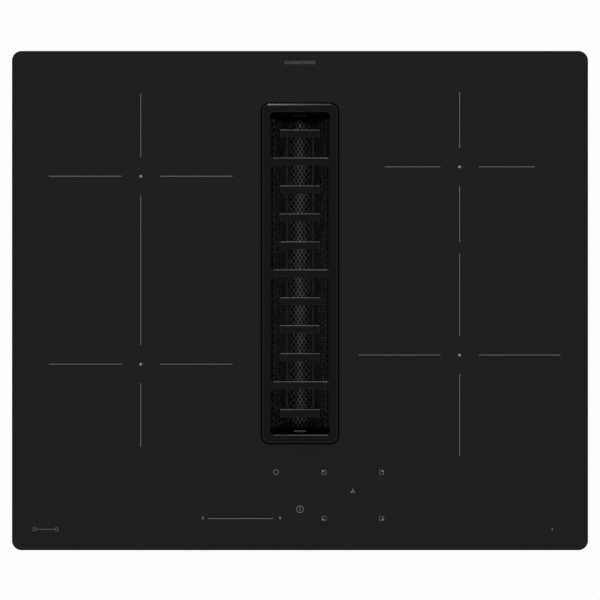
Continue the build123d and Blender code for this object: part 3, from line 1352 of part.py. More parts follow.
def build_terminal_block():
    """Terminal block with its screw wells, on the roof of the box."""
    top = TRAY_Z - BOX_WALL
    y = TERMINAL_Y - TERMINAL_L / 2 + BOX_WALL + BLOCK_D
    body = plate(BLOCK_W, BLOCK_D, 0, BLOCK_H, top - BLOCK_H, (TERMINAL_X, y))
    pitch = BLOCK_W / BLOCK_WAY_COUNT
    wells = [
        square_post(pitch / 2, BLOCK_H / 3, top - BLOCK_H, (x, y))
        for x in spread(BLOCK_WAY_COUNT, BLOCK_W - pitch, TERMINAL_X)
    ]
    return body - wells


def build_cord_clamp():
    """Bar that grips the supply cable against the roof of the terminal box."""
    y = clamp_post_places()[0][1]
    top = TRAY_Z - CABLE_DROP - CABLE_HOLE_R - CABLE_FIT
    return plate(CLAMP_W, CLAMP_D, 0, CLAMP_T, top - CLAMP_T, (TERMINAL_X, y))


# ---------------------------------------------------------------- whole object
def build_nodes():
    """Return every sub-part by its name."""
    nodes = {
        "glass_top": build_glass_top(),
        "worktop_seal": build_worktop_seal(),
        "hob_tray": build_hob_tray(),
        "centring_springs": build_centring_springs(),
        "tray_screws": build_tray_screws(),
        "intake_collar": build_intake_collar(),
        "collar_seal": build_collar_seal(),
        "throat_seal": build_throat_seal(),
        "intake_grille": build_intake_grille(),
        "filter_frame": build_filter_frame(),
        "filter_mesh": build_filter_mesh(),
        "filter_end_caps": build_filter_end_caps(),
        "filter_pull_tab": build_filter_pull_tab(),
        "drip_tray": build_drip_tray(),
        "base_housing": build_base_housing(),
        "housing_cover": build_housing_cover(),
        "housing_screws": build_housing_screws(),
        "fan_scroll": build_fan_scroll(),
        "scroll_cover": build_scroll_cover(),
        "scroll_screws": build_scroll_screws(),
        "fan_motor": build_fan_motor(),
        "motor_mounts": build_motor_mounts(),
        "motor_screws": build_motor_screws(),
        "fan_shaft": build_fan_shaft(),
        "fan_impeller": build_fan_impeller(),
        "impeller_nut": build_impeller_nut(),
        "outlet_spigot": build_outlet_spigot(),
        "driver_box": build_driver_box(),
        "driver_lid": build_driver_lid(),
        "driver_board": build_driver_board(),
        "terminal_box": build_terminal_box(),
        "terminal_block": build_terminal_block(),
        "terminal_cover": build_terminal_cover(),
        "terminal_hinge_pin": build_terminal_hinge_pin(),
        "cord_clamp": build_cord_clamp(),
        "coil_ferrites": build_coil_ferrites(),
        "coil_formers": build_coil_formers(),
        "coil_windings": build_coil_windings(),
        "coil_mica": build_coil_mica(),
        "coil_sensors": build_coil_sensors(),
        "carrier_posts": build_carrier_posts(),
        "mains_filter_board": build_mains_filter_board(),
        "board_standoffs": build_board_standoffs(),
        "touch_board": build_touch_board(),
        "touch_carrier": build_touch_carrier(),
        "touch_contacts": build_touch_contacts(),
    }
    for name, side in (("left", -1), ("right", 1)):
        nodes[f"coil_carrier_{name}"] = build_coil_carrier(side)
        nodes[f"power_board_{name}"] = build_power_board(side)
        nodes[f"power_parts_{name}"] = build_power_parts(side)
        nodes[f"heatsink_{name}"] = build_heatsink(side)
        nodes[f"cooling_blower_{name}"] = build_cooling_blower(side)
        nodes[f"cooling_rotor_{name}"] = build_cooling_rotor(side)
    return nodes


for node_name, shape in build_nodes().items():
    export_step(shape, f"parts/{node_name}.step")
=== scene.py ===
"""Dress, light and frame the downdraft induction cooktop.

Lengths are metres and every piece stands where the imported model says. X runs to the cook's
right, Y to the back and Z up. The camera looks straight down on the glass.
"""

import json
import logging
import math
from dataclasses import dataclass
from enum import Enum
from typing import Callable, Iterable, Iterator, Optional, Sequence, Union

import bmesh
import bpy
from mathutils import Matrix, Vector

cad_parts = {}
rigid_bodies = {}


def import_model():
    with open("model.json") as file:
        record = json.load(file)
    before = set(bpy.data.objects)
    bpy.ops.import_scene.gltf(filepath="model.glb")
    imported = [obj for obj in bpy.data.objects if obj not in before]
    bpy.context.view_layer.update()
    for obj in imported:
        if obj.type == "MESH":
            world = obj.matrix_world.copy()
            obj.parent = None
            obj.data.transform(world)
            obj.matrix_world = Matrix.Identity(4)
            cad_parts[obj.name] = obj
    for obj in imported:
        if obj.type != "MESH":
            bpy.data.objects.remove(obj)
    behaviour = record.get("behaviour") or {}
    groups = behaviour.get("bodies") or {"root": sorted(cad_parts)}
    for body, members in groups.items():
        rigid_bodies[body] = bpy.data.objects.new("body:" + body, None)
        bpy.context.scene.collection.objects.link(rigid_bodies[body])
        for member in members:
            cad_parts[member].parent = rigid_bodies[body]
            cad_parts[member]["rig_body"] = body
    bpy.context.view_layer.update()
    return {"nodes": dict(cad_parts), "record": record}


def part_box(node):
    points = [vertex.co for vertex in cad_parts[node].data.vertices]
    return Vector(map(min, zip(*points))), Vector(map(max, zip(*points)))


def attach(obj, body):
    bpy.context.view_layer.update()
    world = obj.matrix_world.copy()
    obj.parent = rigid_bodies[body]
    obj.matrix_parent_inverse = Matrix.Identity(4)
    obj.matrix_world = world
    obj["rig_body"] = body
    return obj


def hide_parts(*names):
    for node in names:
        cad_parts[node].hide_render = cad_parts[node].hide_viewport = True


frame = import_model()
MM = 0.001
LOG = logging.getLogger("cooktop")

Colour = tuple[float, float, float]
Point = tuple[float, float]
Pair = tuple[float, float]
Mesh = bmesh.types.BMesh
Piece = bpy.types.Object


# ---------------- shader maths
class Wire:
    """An output socket of a material that can be used in plain arithmetic."""

    def __init__(self, graph: "Graph", socket: bpy.types.NodeSocket) -> None:
        """Keep the socket and the graph that it belongs to."""
        self.graph = graph
        self.socket = socket

    def _math(self, operation: str, *values: "Value") -> "Wire":
        """Return the result of one Math node on one or two values."""
        settings = {"operation": operation}
        return self.graph.add("ShaderNodeMath", settings, dict(enumerate(values)))

    def __add__(self, other: "Value") -> "Wire":
        """Return self + other."""
        return self._math("ADD", self, other)

    __radd__ = __add__

    def __sub__(self, other: "Value") -> "Wire":
        """Return self - other."""
        return self._math("SUBTRACT", self, other)

    def __rsub__(self, other: "Value") -> "Wire":
        """Return other - self."""
        return self._math("SUBTRACT", other, self)

    def __mul__(self, other: "Value") -> "Wire":
        """Return self * other."""
        return self._math("MULTIPLY", self, other)

    def __gt__(self, other: "Value") -> "Wire":
        """Return 1 where self is more than other, else 0."""
        return self._math("GREATER_THAN", self, other)

    def __lt__(self, other: "Value") -> "Wire":
        """Return 1 where self is less than other, else 0."""
        return self._math("LESS_THAN", self, other)

    def __abs__(self) -> "Wire":
        """Return self without its sign."""
        return self._math("ABSOLUTE", self)

    def least(self, other: "Value") -> "Wire":
        """Return the smaller of self and other."""
        return self._math("MINIMUM", self, other)

    def wave(self, pitch: float) -> "Wire":
        """Return a sine wave that comes round once a pitch of self."""
        return self._math("SINE", self * (2 * math.pi / pitch))


Value = Union[Wire, float, Sequence[float]]
Surface = tuple[Wire, Wire, Optional[Wire]]


class Graph:
    """The node tree of a material or of the world."""

    def __init__(self, tree: bpy.types.NodeTree) -> None:
        """Empty the tree, ready for new nodes."""
        self.tree = tree
        tree.nodes.clear()

    def add(
        self,
        kind: str,
        settings: Optional[dict] = None,
        inputs: Optional[dict] = None,
        output: Union[int, str] = 0,
    ) -> Wire:
        """Add a node.

        Args:
            kind: The node's type.
            settings: Its properties, set first; stops gives a ramp's places and colours.
            inputs: Values or wires for its sockets, by name or number.
            output: The output that is returned.

        Returns:
            The chosen output.
        """
        node = self.tree.nodes.new(kind)
        for name, value in (settings or {}).items():
            if name == "stops":
                self._set_stops(node.color_ramp, value)
            else:
                setattr(node, name, value)
        for key, value in (inputs or {}).items():
            self.join(value, node.inputs[key])
        return Wire(self, node.outputs[output]) if len(node.outputs) else Wire(self, None)

    def join(self, value: Value, socket: bpy.types.NodeSocket) -> None:
        """Link a wire to a socket, or set the socket's own value.

        Args:
            value: A wire, or a value of the socket's kind.
            socket: The input socket.
        """
        if isinstance(value, Wire):
            self.tree.links.new(value.socket, socket)
        elif socket.type == "RGBA" and len(value) == 3:
            socket.default_value = (*value, 1.0)
        else:
            socket.default_value = value

    @staticmethod
    def _set_stops(ramp: bpy.types.ColorRamp, stops: Sequence[tuple[float, Colour]]) -> None:
        """Give a ramp its places and colours.

        Args:
            ramp: The ramp.
            stops: Place and colour of each stop.
        """
        while len(ramp.elements) < len(stops):
            ramp.elements.new(0.5)
        for element, (place, colour) in zip(ramp.elements, stops):
            element.position = place
            element.color = (*colour, 1.0)

    def place(self) -> Wire:
        """Return Object coordinates, in metres."""
        return self.add("ShaderNodeTexCoord", output="Object")

    def axis(self, name: str) -> Wire:
        """Return one of the Object coordinates, X, Y or Z."""
        return self.add("ShaderNodeSeparateXYZ", None, {0: self.place()}, name)

    def mapped(self, scale: Sequence[float]) -> Wire:
        """Return Object coordinates, each stretched by its own factor."""
        return self.add("ShaderNodeMapping", None, {"Vector": self.place(), "Scale": scale})

    def noise(self, scale: float, detail: float = 3.0, vector: Optional[Wire] = None) -> Wire:
        """Add a noise pattern.

        Args:
            scale: Cells a metre.
            detail: Steps of finer noise on it.
            vector: Its coordinates, where they aren't those of the object.

        Returns:
            The pattern.
        """
        where = self.place() if vector is None else vector
        inputs = {"Vector": where, "Scale": scale, "Detail": detail}
        return self.add("ShaderNodeTexNoise", None, inputs)

    def cells(self, scale: float, output: str = "Distance", distance: str = "EUCLIDEAN") -> Wire:
        """Return a pattern of cells, so many a metre."""
        inputs = {"Vector": self.place(), "Scale": scale}
        return self.add("ShaderNodeTexVoronoi", {"distance": distance}, inputs, output)

    def blend(self, factor: Value, first: Value, second: Value) -> Wire:
        """Return a colour between two colours."""
        inputs = {0: factor, 6: first, 7: second}
        return self.add("ShaderNodeMix", {"data_type": "RGBA"}, inputs, 2)

    def rise(self, value: Wire, start: float, end: float) -> Wire:
        """Return 0 where a value is below start and 1 above end, with a slope between."""
        return self.add("ShaderNodeMapRange", None, {0: value, 1: start, 2: end})

    def bump(self, height: Wire, strength: float, distance: float) -> Wire:
        """Return a normal that follows a height."""
        inputs = {"Strength": strength, "Distance": distance, "Height": height}
        return self.add("ShaderNodeBump", None, inputs)


# ---------------- finishes
@dataclass(frozen=True)
class Finish:
    """A plain coat with a fine grain.

    Attributes:
        name: Name of the material.
        colour: Linear colour.
        roughness: Middle of the roughness.
        metallic: 0 for plastic and paint, 1 for bare metal.
        specular: Strength of the mirror part.
        grain: Cells of the fine pattern, a metre.
        relief: Height of the fine pattern.
        bite: How strongly that height turns the light.
        patch: Cells of the broad pattern, a metre.
        share: Share of the broad pattern in the colour.
        variation: How much the colour wanders, as a share of itself.
        sheen: How far the roughness wanders in all.
    """

    name: str
    colour: Colour
    roughness: float = 0.5
    metallic: float = 0.0
    specular: float = 0.4
    grain: float = 1500.0
    relief: float = 0.04 * MM
    bite: float = 0.6
    patch: float = 28.0
    share: float = 0.6
    variation: float = 0.12
    sheen: float = 0.12

    def coat(self, graph: Graph, pattern: Wire) -> Wire:
        """Let the colour wander about its middle with a pattern.

        Args:
            graph: The material's nodes.
            pattern: The pattern, from 0 to 1.

        Returns:
            The colour.
        """
        low = tuple(c * (1 - self.variation) for c in self.colour)
        high = tuple(c * (1 + self.variation) for c in self.colour)
        return graph.blend(pattern, low, high)

    def mixed(self, broad: Wire, fine: Wire) -> Wire:
        """Return one pattern made of a broad one and a fine one."""
        return broad * self.share + fine * (1 - self.share)

    def rough(self, pattern: Wire) -> Wire:
        """Return the roughness, which wanders about its middle with a pattern."""
        return (pattern - 0.5) * self.sheen + self.roughness

    def surface(self, graph: Graph) -> Surface:
        """Make what varies over the surface.

        Args:
            graph: The material's nodes.

        Returns:
            The colour, the pattern of the roughness and that of the relief, if there is one.
        """
        fine = graph.noise(self.grain)
        broad = graph.noise(self.patch, detail=4.0)
        return self.coat(graph, self.mixed(broad, fine)), broad, fine

    def material(self) -> bpy.types.Material:
        """Make the material of the finish, once.

        Returns:
            The new material, or the one that was made before.
        """
        name = f"{self.name}_finish"
        made = bpy.data.materials.get(name)
        if made is not None:
            return made
        made = bpy.data.materials.new(name)
        made.use_nodes = True
        graph = Graph(made.node_tree)
        colour, gloss, height = self.surface(graph)
        inputs = {"Metallic": self.metallic, "Specular IOR Level": self.specular}
        inputs |= {"Base Color": colour, "Roughness": self.rough(gloss)}
        if height is not None:
            inputs["Normal"] = graph.bump(height, self.bite, self.relief)
        shader = graph.add("ShaderNodeBsdfPrincipled", None, inputs)
        graph.add("ShaderNodeOutputMaterial", None, {"Surface": shader})
        made.diffuse_color = (*self.colour, 1.0)
        return made


@dataclass(frozen=True)
class GlassCeramic(Finish):
    """Black glass ceramic: nearly even, with the faint film that hands leave."""

    patch: float = 9.0
    variation: float = 0.05
    sheen: float = 0.05

    def surface(self, graph: Graph) -> Surface:
        """Make what varies over the surface."""
        film = graph.noise(self.patch, detail=6.0)
        return self.coat(graph, film), film, None


@dataclass(frozen=True)
class ZincSheet(Finish):
    """Zinc coated sheet with its broad crystals, so many a metre."""

    crystal: float = 160.0
    bite: float = 0.3
    patch: float = 18.0
    share: float = 0.7
    sheen: float = 0.16

    def surface(self, graph: Graph) -> Surface:
        """Make what varies over the surface.

        Args:
            graph: The material's nodes.

        Returns:
            The colour, the pattern of the roughness and that of the relief.
        """
        crystal = graph.cells(self.crystal, "Color")
        broad = graph.noise(self.patch, detail=5.0)
        colour = self.coat(graph, self.mixed(crystal, broad))
        return colour, crystal, graph.noise(self.grain)


@dataclass(frozen=True)
class BrushedMetal(Finish):
    """Metal with fine drawn lines along the axis that is stretched least."""

    stretch: tuple[float, float, float] = (0.04, 1.0, 1.0)
    bite: float = 0.4
    sheen: float = 0.16

    def surface(self, graph: Graph) -> Surface:
        """Make what varies over the surface."""
        lines = graph.noise(self.grain, 4.0, graph.mapped(self.stretch))
        return self.coat(graph, lines), lines, lines


@dataclass(frozen=True)
class Foam(Finish):
    """Closed-cell foam and rubber with a pitted skin, so many pores a metre."""

    pore: float = 1400.0
    bite: float = 0.8
    patch: float = 60.0
    sheen: float = 0.1

    def surface(self, graph: Graph) -> Surface:
        """Make what varies over the surface."""
        pores = graph.cells(self.pore)
        return self.coat(graph, pores), graph.noise(self.patch), pores


@dataclass(frozen=True)
class CircuitBoard(Finish):
    """Solder mask over copper tracks."""

    track: Colour = (0.03, 0.2, 0.08)
    pitch: float = 160.0
    track_start: float = 0.34
    bite: float = 0.5
    patch: float = 60.0
    sheen: float = 0.1

    def surface(self, graph: Graph) -> Surface:
        """Make what varies over the surface.

        Args:
            graph: The material's nodes.

        Returns:
            The colour, the pattern of the roughness and that of the relief.
        """
        tracks = graph.cells(self.pitch, distance="MANHATTAN") > self.track_start
        colour = graph.blend(tracks, self.colour, self.track)
        return colour, graph.noise(self.patch), tracks


@dataclass(frozen=True)
class Winding(Finish):
    """Litz wire laid in flat turns round the middle of each coil."""

    middles: tuple[Point, ...] = ()
    turn: float = 3.2 * MM
    relief: float = 0.8 * MM
    bite: float = 0.8
    patch: float = 300.0
    sheen: float = 0.1

    def surface(self, graph: Graph) -> Surface:
        """Make what varies over the surface.

        Args:
            graph: The material's nodes.

        Returns:
            The colour, the pattern of the roughness and that of the relief.
        """
        flat = graph.mapped((1.0, 1.0, 0.0))
        nearest: Value = 1.0
        for x, y in self.middles:
            inputs = {0: flat, 1: (x, y, 0.0)}
            away = graph.add("ShaderNodeVectorMath", {"operation": "DISTANCE"}, inputs, "Value")
            nearest = away.least(nearest)
        wave = nearest.wave(self.turn)
        return self.coat(graph, wave * 0.5 + 0.5), graph.noise(self.patch), wave


@dataclass(frozen=True)
class MixedParts(Finish):
    """Cases of many electronic parts, each block with its own shade."""

    others: tuple[Colour, ...] = ((0.03, 0.05, 0.14), (0.35, 0.34, 0.3), (0.16, 0.07, 0.02))
    starts: tuple[float, ...] = (0.0, 0.45, 0.62, 0.8, 0.9)
    speckle: float = 200.0
    bite: float = 0.3
    patch: float = 24.0
    sheen: float = 0.1

    def surface(self, graph: Graph) -> Surface:
        """Make what varies over the surface.

        Args:
            graph: The material's nodes.

        Returns:
            The colour, the pattern of the roughness and that of the relief.
        """
        shades = (self.colour, self.others[0], self.colour, *self.others[1:])
        settings = {"stops": list(zip(self.starts, shades))}
        blocks = graph.cells(self.patch, "Color")
        colour = graph.add("ShaderNodeValToRGB", settings, {"Fac": blocks})
        return colour, graph.noise(self.speckle), graph.noise(self.grain)


@dataclass(frozen=True)
class CoatedCasting(Finish):
    """Black coated casting with fine pits."""

    grain: float = 1800.0
    bite: float = 0.35
    patch: float = 45.0
    share: float = 0.5

    def surface(self, graph: Graph) -> Surface:
        """Make what varies over the surface.

        Args:
            graph: The material's nodes.

        Returns:
            The colour, the pattern of the roughness and that of the relief.
        """
        fine = graph.noise(self.grain, detail=4.0)
        pits = self.mixed(graph.noise(self.patch, detail=5.0), fine)
        return self.coat(graph, pits), pits, fine


FILTER_Y = 28.3 * MM


@dataclass(frozen=True)
class FoldedRim(Finish):
    """Black coated rim with a groove, its inner fold pressed over the ends of the strands.

    Painted shade darkens the groove and a painted shadow both ends; painted light brightens the
    lip, and painted highlight dots run along the fold at the strands' pitch.
    """

    fold: float = 28.3 * MM
    groove: float = 29.2 * MM
    lip: float = 30.4 * MM
    open_half: float = 161.5 * MM
    strand_pitch: float = 6.9 * MM
    wave_share: float = 0.4
    # Near black of the painted shade in the groove and of the painted shadow over both ends.
    painted_shade: Colour = (0.0004, 0.0004, 0.0004)
    # Colour of the painted light on the lip.
    lip_painted_light: Colour = (0.023, 0.023, 0.0215)
    # Colour of the painted highlight dots along the fold.
    painted_dot_highlight: Colour = (0.05, 0.05, 0.047)
    patch: float = 190.0
    variation: float = 0.4
    sheen: float = 0.1

    def surface(self, graph: Graph) -> Surface:
        """Make what varies over the surface.

        Args:
            graph: The material's nodes.

        Returns:
            The colour and the pattern of the roughness, with no relief.
        """
        across, along = abs(graph.axis("X")), graph.axis("Y")
        patch = graph.noise(self.patch, detail=2.0)
        # Painted shade in the groove and painted shadow over both ends.
        end = abs(along - FILTER_Y) > self.open_half
        painted_shade = (across > self.fold) * (across < self.groove) * (1.0 - end) + end
        # Painted highlight dots along the fold, at the strands' pitch, none on the ends.
        spots = along.wave(self.strand_pitch) * self.wave_share + patch > 0.5
        painted_dots = (across < self.fold) * spots * (1.0 - end)
        # Painted light on the lip, between the groove and the lip's edge.
        lip = (across > self.groove) * (across < self.lip)
        plain = graph.blend(lip, self.coat(graph, patch), self.lip_painted_light)
        colour = graph.blend(painted_dots, graph.blend(painted_shade, plain, self.painted_shade), self.painted_dot_highlight)
        return colour, patch, None


@dataclass(frozen=True)
class TroughMetal(BrushedMetal):
    """Expanded metal, lighter on the trough's floor with painted shade on its slopes, and near
    black at its ends by a painted shadow.
    """

    floor_edge: float = 10.0 * MM
    slope_edge: float = 13.5 * MM
    # Share of the colour that the painted shade leaves on the slopes.
    painted_shade_share: float = 0.4
    unshadowed_half: float = 158.0 * MM
    shadow_fade: float = 6.0 * MM
    # Near black of the painted shadow over both ends.
    painted_end_shadow: Colour = (0.0008, 0.0008, 0.0008)

    def surface(self, graph: Graph) -> Surface:
        """Make what varies over the surface.

        Args:
            graph: The material's nodes.

        Returns:
            The colour, the pattern of the roughness and that of the relief.
        """
        unshaded, gloss, height = super().surface(graph)
        # Painted shade: the slopes take a darker copy of the colour than the floor.
        slope = graph.rise(abs(graph.axis("X")), self.floor_edge, self.slope_edge)
        # Painted shadow over both ends of the trough.
        away = abs(graph.axis("Y") - FILTER_Y)
        shadowed_ends = graph.rise(away, self.unshadowed_half, self.unshadowed_half + self.shadow_fade)
        shade = tuple(part * self.painted_shade_share for part in self.colour)
        metal = graph.blend(slope, unshaded, shade)
        return graph.blend(shadowed_ends, metal, self.painted_end_shadow), gloss, height


COIL_MIDDLES = ((-0.1658, 0.1295), (-0.1658, -0.0663), (0.1662, 0.1392), (0.1662, -0.0566))

GLASS = GlassCeramic("black_glass", (0.0072, 0.0072, 0.0088), 0.065, specular=0.1)
GLASS_EDGE = Finish("ground_glass_edge", (0.002, 0.002, 0.0022), 0.35, specular=0.02, grain=2500.0)
PRINT = Finish(
    "print_grey", (0.235, 0.235, 0.245), 0.6, specular=0.2, grain=3000.0, relief=0.01 * MM
)
IRON = CoatedCasting("grille_iron", (0.0042, 0.0042, 0.0039), 0.36, specular=0.06)
IRON_EDGE = CoatedCasting("grille_iron_edge", (0.0045, 0.0045, 0.0042), 0.26, specular=0.11)
# A glossier copy of the edge coat that paints a highlight on bar bevels facing the lamp.
IRON_PAINTED_HIGHLIGHT = CoatedCasting("grille_iron_painted_highlight", (0.0045, 0.0045, 0.0042), 0.26, specular=0.14)
# A lighter copy of the coat that paints light on the ribs' top faces.
IRON_WEB_PAINTED_LIGHT = CoatedCasting("grille_iron_web_painted_light", (0.0052, 0.0052, 0.0049), 0.4, specular=0.1)
RIM = FoldedRim("filter_rim_coat", (0.0065, 0.0065, 0.006), 0.75, specular=0.02)
TROUGH = TroughMetal("filter_metal", (0.31, 0.305, 0.29), 0.3, 0.2, specular=0.3)
TAB = Finish("pull_tab_coat", (0.03, 0.03, 0.029), 0.35, 0.5, grain=2400.0)
# The back tab's coat, darkened by a painted shadow.
TAB_PAINTED_SHADOW = Finish("pull_tab_painted_shadow", (0.004, 0.004, 0.004), 0.6, 0.2, 0.1, grain=2400.0)
COLLAR = Finish("collar_matte", (0.003, 0.003, 0.003), 0.85, specular=0.01)
END_PLATE = Finish("end_plate_coat", (0.0012, 0.0012, 0.0012), 0.8, specular=0.01)
SCREW = Finish("screw_steel", (0.62, 0.62, 0.6), 0.32, 1.0, relief=0.01 * MM)

SUBPARTS = frame["record"]["subparts"]
SLOT_OF: dict[str, str] = {row["node"]: row["material_slot"] for row in SUBPARTS}
FINISHES: dict[str, Finish] = {
    finish.name: finish
    for finish in (
        GLASS,
        Foam("seal_foam", (0.03, 0.03, 0.03), 0.9),
        ZincSheet("casing_steel", (0.5, 0.51, 0.52), 0.54, 0.5),
        BrushedMetal("spring_steel", (0.6, 0.6, 0.6), 0.28, 1.0),
        SCREW,
        Finish("black_plastic", (0.02, 0.02, 0.021), 0.55, specular=0.3),
        Finish("housing_plastic", (0.035, 0.036, 0.038), specular=0.35, grain=1100.0),
        IRON,
        TROUGH,
        BrushedMetal("tab_steel", (0.5, 0.5, 0.48), 0.3, 1.0),
        Finish("impeller_plastic", (0.03, 0.03, 0.032)),
        Finish("motor_can", (0.05, 0.05, 0.052), 0.45, 0.3),
        Foam("mount_rubber", (0.02, 0.02, 0.02), 0.8, pore=3000.0),
        BrushedMetal("shaft_steel", (0.65, 0.65, 0.65), 0.2, 1.0, stretch=(1.0, 1.0, 0.1)),
        CircuitBoard("board_green", (0.02, 0.12, 0.05), 0.4, relief=0.03 * MM),
        MixedParts("board_parts", (0.05, 0.05, 0.06), 0.5),
        BrushedMetal("sink_aluminium", (0.75, 0.76, 0.77), 0.35, 1.0, stretch=(1.0, 0.05, 1.0)),
        Winding("coil_litz", (0.62, 0.4, 0.22), 0.47, 0.6, variation=0.5, middles=COIL_MIDDLES),
        Finish("coil_ferrite", (0.06, 0.06, 0.06), 0.7, grain=2600.0),
        Finish("coil_mica", (0.7, 0.62, 0.48), 0.35, grain=300.0),
        Finish("natural_plastic", (0.75, 0.74, 0.7)),
        Finish("sensor_metal", (0.85, 0.84, 0.8), 0.4),
    )
}


# ---------------- mesh tools
MERGE_DISTANCE = 0.002 * MM
JOIN_TURN = math.radians(0.6)
WIDE_FACE = 3.0 * MM
NARROW_FACE = 0.8 * MM
CURVE_TURNS = (math.radians(0.5), math.radians(12.0))


class Side(Enum):
    """The two sides of a middle: left or front, and right or back."""

    LOW = -1
    HIGH = 1


def placed(name: str, data: bpy.types.ID) -> Piece:
    """Put a new object in the scene.

    Args:
        name: Its name.
        data: The mesh, curve, camera or lamp that it shows.

    Returns:
        The new object.
    """
    piece = bpy.data.objects.new(name, data)
    bpy.context.scene.collection.objects.link(piece)
    return piece


def inner_edges(edges: Iterable[bmesh.types.BMEdge]) -> list[bmesh.types.BMEdge]:
    """Return the edges that have a face on each side."""
    return [edge for edge in edges if len(edge.link_faces) == 2]


def is_flat(face: bmesh.types.BMFace) -> bool:
    """Tell whether a face is a flat of the piece.

    Args:
        face: The face.

    Returns:
        False where it is part of a rounding or of a curved wall.
    """
    width = face.calc_area() / max(edge.calc_length() for edge in face.edges)
    if width > WIDE_FACE or width < NARROW_FACE:
        return width > WIDE_FACE
    least, most = CURVE_TURNS
    return not any(least < edge.calc_face_angle() < most for edge in inner_edges(face.edges))


def finished(
    bm: Mesh, name: str, finishes: Sequence[Finish], node: Optional[str] = None, sharp: float = 35.0
) -> Piece:
    """Turn a bmesh into a piece, in place of a CAD node or as an addition to the hob.

    Args:
        bm: The mesh in place, freed here.
        name: Name of the piece.
        finishes: Its finishes, by material number.
        node: The node that it replaces, whose body it takes.
        sharp: Edges that turn by more degrees than this stay sharp.

    Returns:
        The new object.
    """
    for face in bm.faces:
        face.smooth = not is_flat(face)
    for edge in inner_edges(bm.edges):
        edge.smooth = edge.calc_face_angle() < math.radians(sharp)
    mesh = bpy.data.meshes.new(name)
    bm.to_mesh(mesh)
    bm.free()
    piece = placed(name, mesh)
    for finish in finishes:
        mesh.materials.append(finish.material())
    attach(piece, frame["nodes"][node]["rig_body"] if node else "hob")
    if node:
        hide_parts(node)
    LOG.info("%s: %d faces", name, len(mesh.polygons))
    return piece


def merged_copy(node: str) -> Mesh:
    """Copy a CAD node's mesh, its points merged and its flat faces joined.

    Args:
        node: The node.

    Returns:
        The copy.
    """
    bm = bmesh.new()
    bm.from_mesh(frame["nodes"][node].data)
    bmesh.ops.remove_doubles(bm, verts=bm.verts, dist=MERGE_DISTANCE)
    bmesh.ops.dissolve_limit(bm, angle_limit=JOIN_TURN, verts=bm.verts, edges=bm.edges)
    return bm


def round_edges(
    bm: Mesh,
    width: float,
    segments: int = 2,
    turn: float = 30.0,
    wanted: Callable[[bmesh.types.BMEdge], bool] = lambda edge: True,
    clamp: bool = True,
) -> None:
    """Round edges.

    Args:
        bm: The mesh.
        width: Width of the rounding on each side.
        segments: Steps of the rounding.
        turn: Only edges that turn by more degrees than this are rounded.
        wanted: Picks the edges among those.
        clamp: Whether a narrow place makes the rounding narrower everywhere.
    """
    limit = math.radians(turn)
    turning = [edge for edge in inner_edges(bm.edges) if edge.calc_face_angle() > limit]
    bmesh.ops.bevel(
        bm,
        geom=[edge for edge in turning if wanted(edge)],
        offset=width,
        segments=segments,
        profile=0.5,
        affect="EDGES",
        clamp_overlap=clamp,
        material=-1,
    )


def softened(
    node: str, width: float, finish: Optional[Finish] = None, segments: int = 2
) -> Piece:
    """Replace a CAD node by a copy with rounded edges.

    Args:
        node: The node.
        width: Width of the rounding on each side.
        finish: Its finish, where it isn't that of the node's slot.
        segments: Steps of the rounding.

    Returns:
        The new object.
    """
    bm = merged_copy(node)
    round_edges(bm, width, segments)
    return finished(bm, f"{node}_soft", [finish or FINISHES[SLOT_OF[node]]], node)


# ---------------- glass and its print
@dataclass
class GlassTop:
    """The glass plate: a gloss face and a ground edge all round."""

    softness: float = 0.15 * MM
    turn: float = 25.0
    edge_width: float = 1.25 * MM
    edge_tilt: float = 0.98

    def build(self) -> None:
        """Build the glass from its CAD node, with its own finish on the ground edge."""
        bm = merged_copy("glass_top")
        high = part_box("glass_top")[1]
        round_edges(bm, self.softness, turn=self.turn)
        for face in bm.faces:
            middle = face.calc_center_median()
            rim = min(high.x - abs(middle.x), high.y - abs(middle.y))
            face.material_index = int(rim < self.edge_width and face.normal.z < self.edge_tilt)
        finished(bm, "glass_plate", [GLASS, GLASS_EDGE], "glass_top")


@dataclass(frozen=True)
class Bar:
    """A printed line."""

    start: Point
    end: Point
    width: float = 0.42 * MM

    def add(self, bm: Mesh, low: float, high: float) -> None:
        """Add the line to the print.

        Args:
            bm: The print.
            low: Height of its underside.
            high: Height of its upper side.
        """
        start, end = Vector((*self.start, low)), Vector((*self.end, low))
        run = end - start
        middle = (start + end) / 2 + Vector((0.0, 0.0, (high - low) / 2))
        turn = Matrix.Rotation(math.atan2(run.y, run.x), 4, "Z")
        size = Matrix.Diagonal((run.length, self.width, high - low, 1.0))
        bmesh.ops.create_cube(bm, size=1.0, matrix=Matrix.Translation(middle) @ turn @ size)


@dataclass(frozen=True)
class Dot:
    """A printed dot."""

    middle: Point
    radius: float
    sides: int = 12

    def add(self, bm: Mesh, low: float, high: float) -> None:
        """Add the dot to the print.

        Args:
            bm: The print.
            low: Height of its underside.
            high: Height of its upper side.
        """
        bmesh.ops.create_cone(
            bm,
            cap_ends=True,
            segments=self.sides,
            radius1=self.radius,
            radius2=self.radius,
            depth=high - low,
            matrix=Matrix.Translation((*self.middle, (low + high) / 2)),
        )


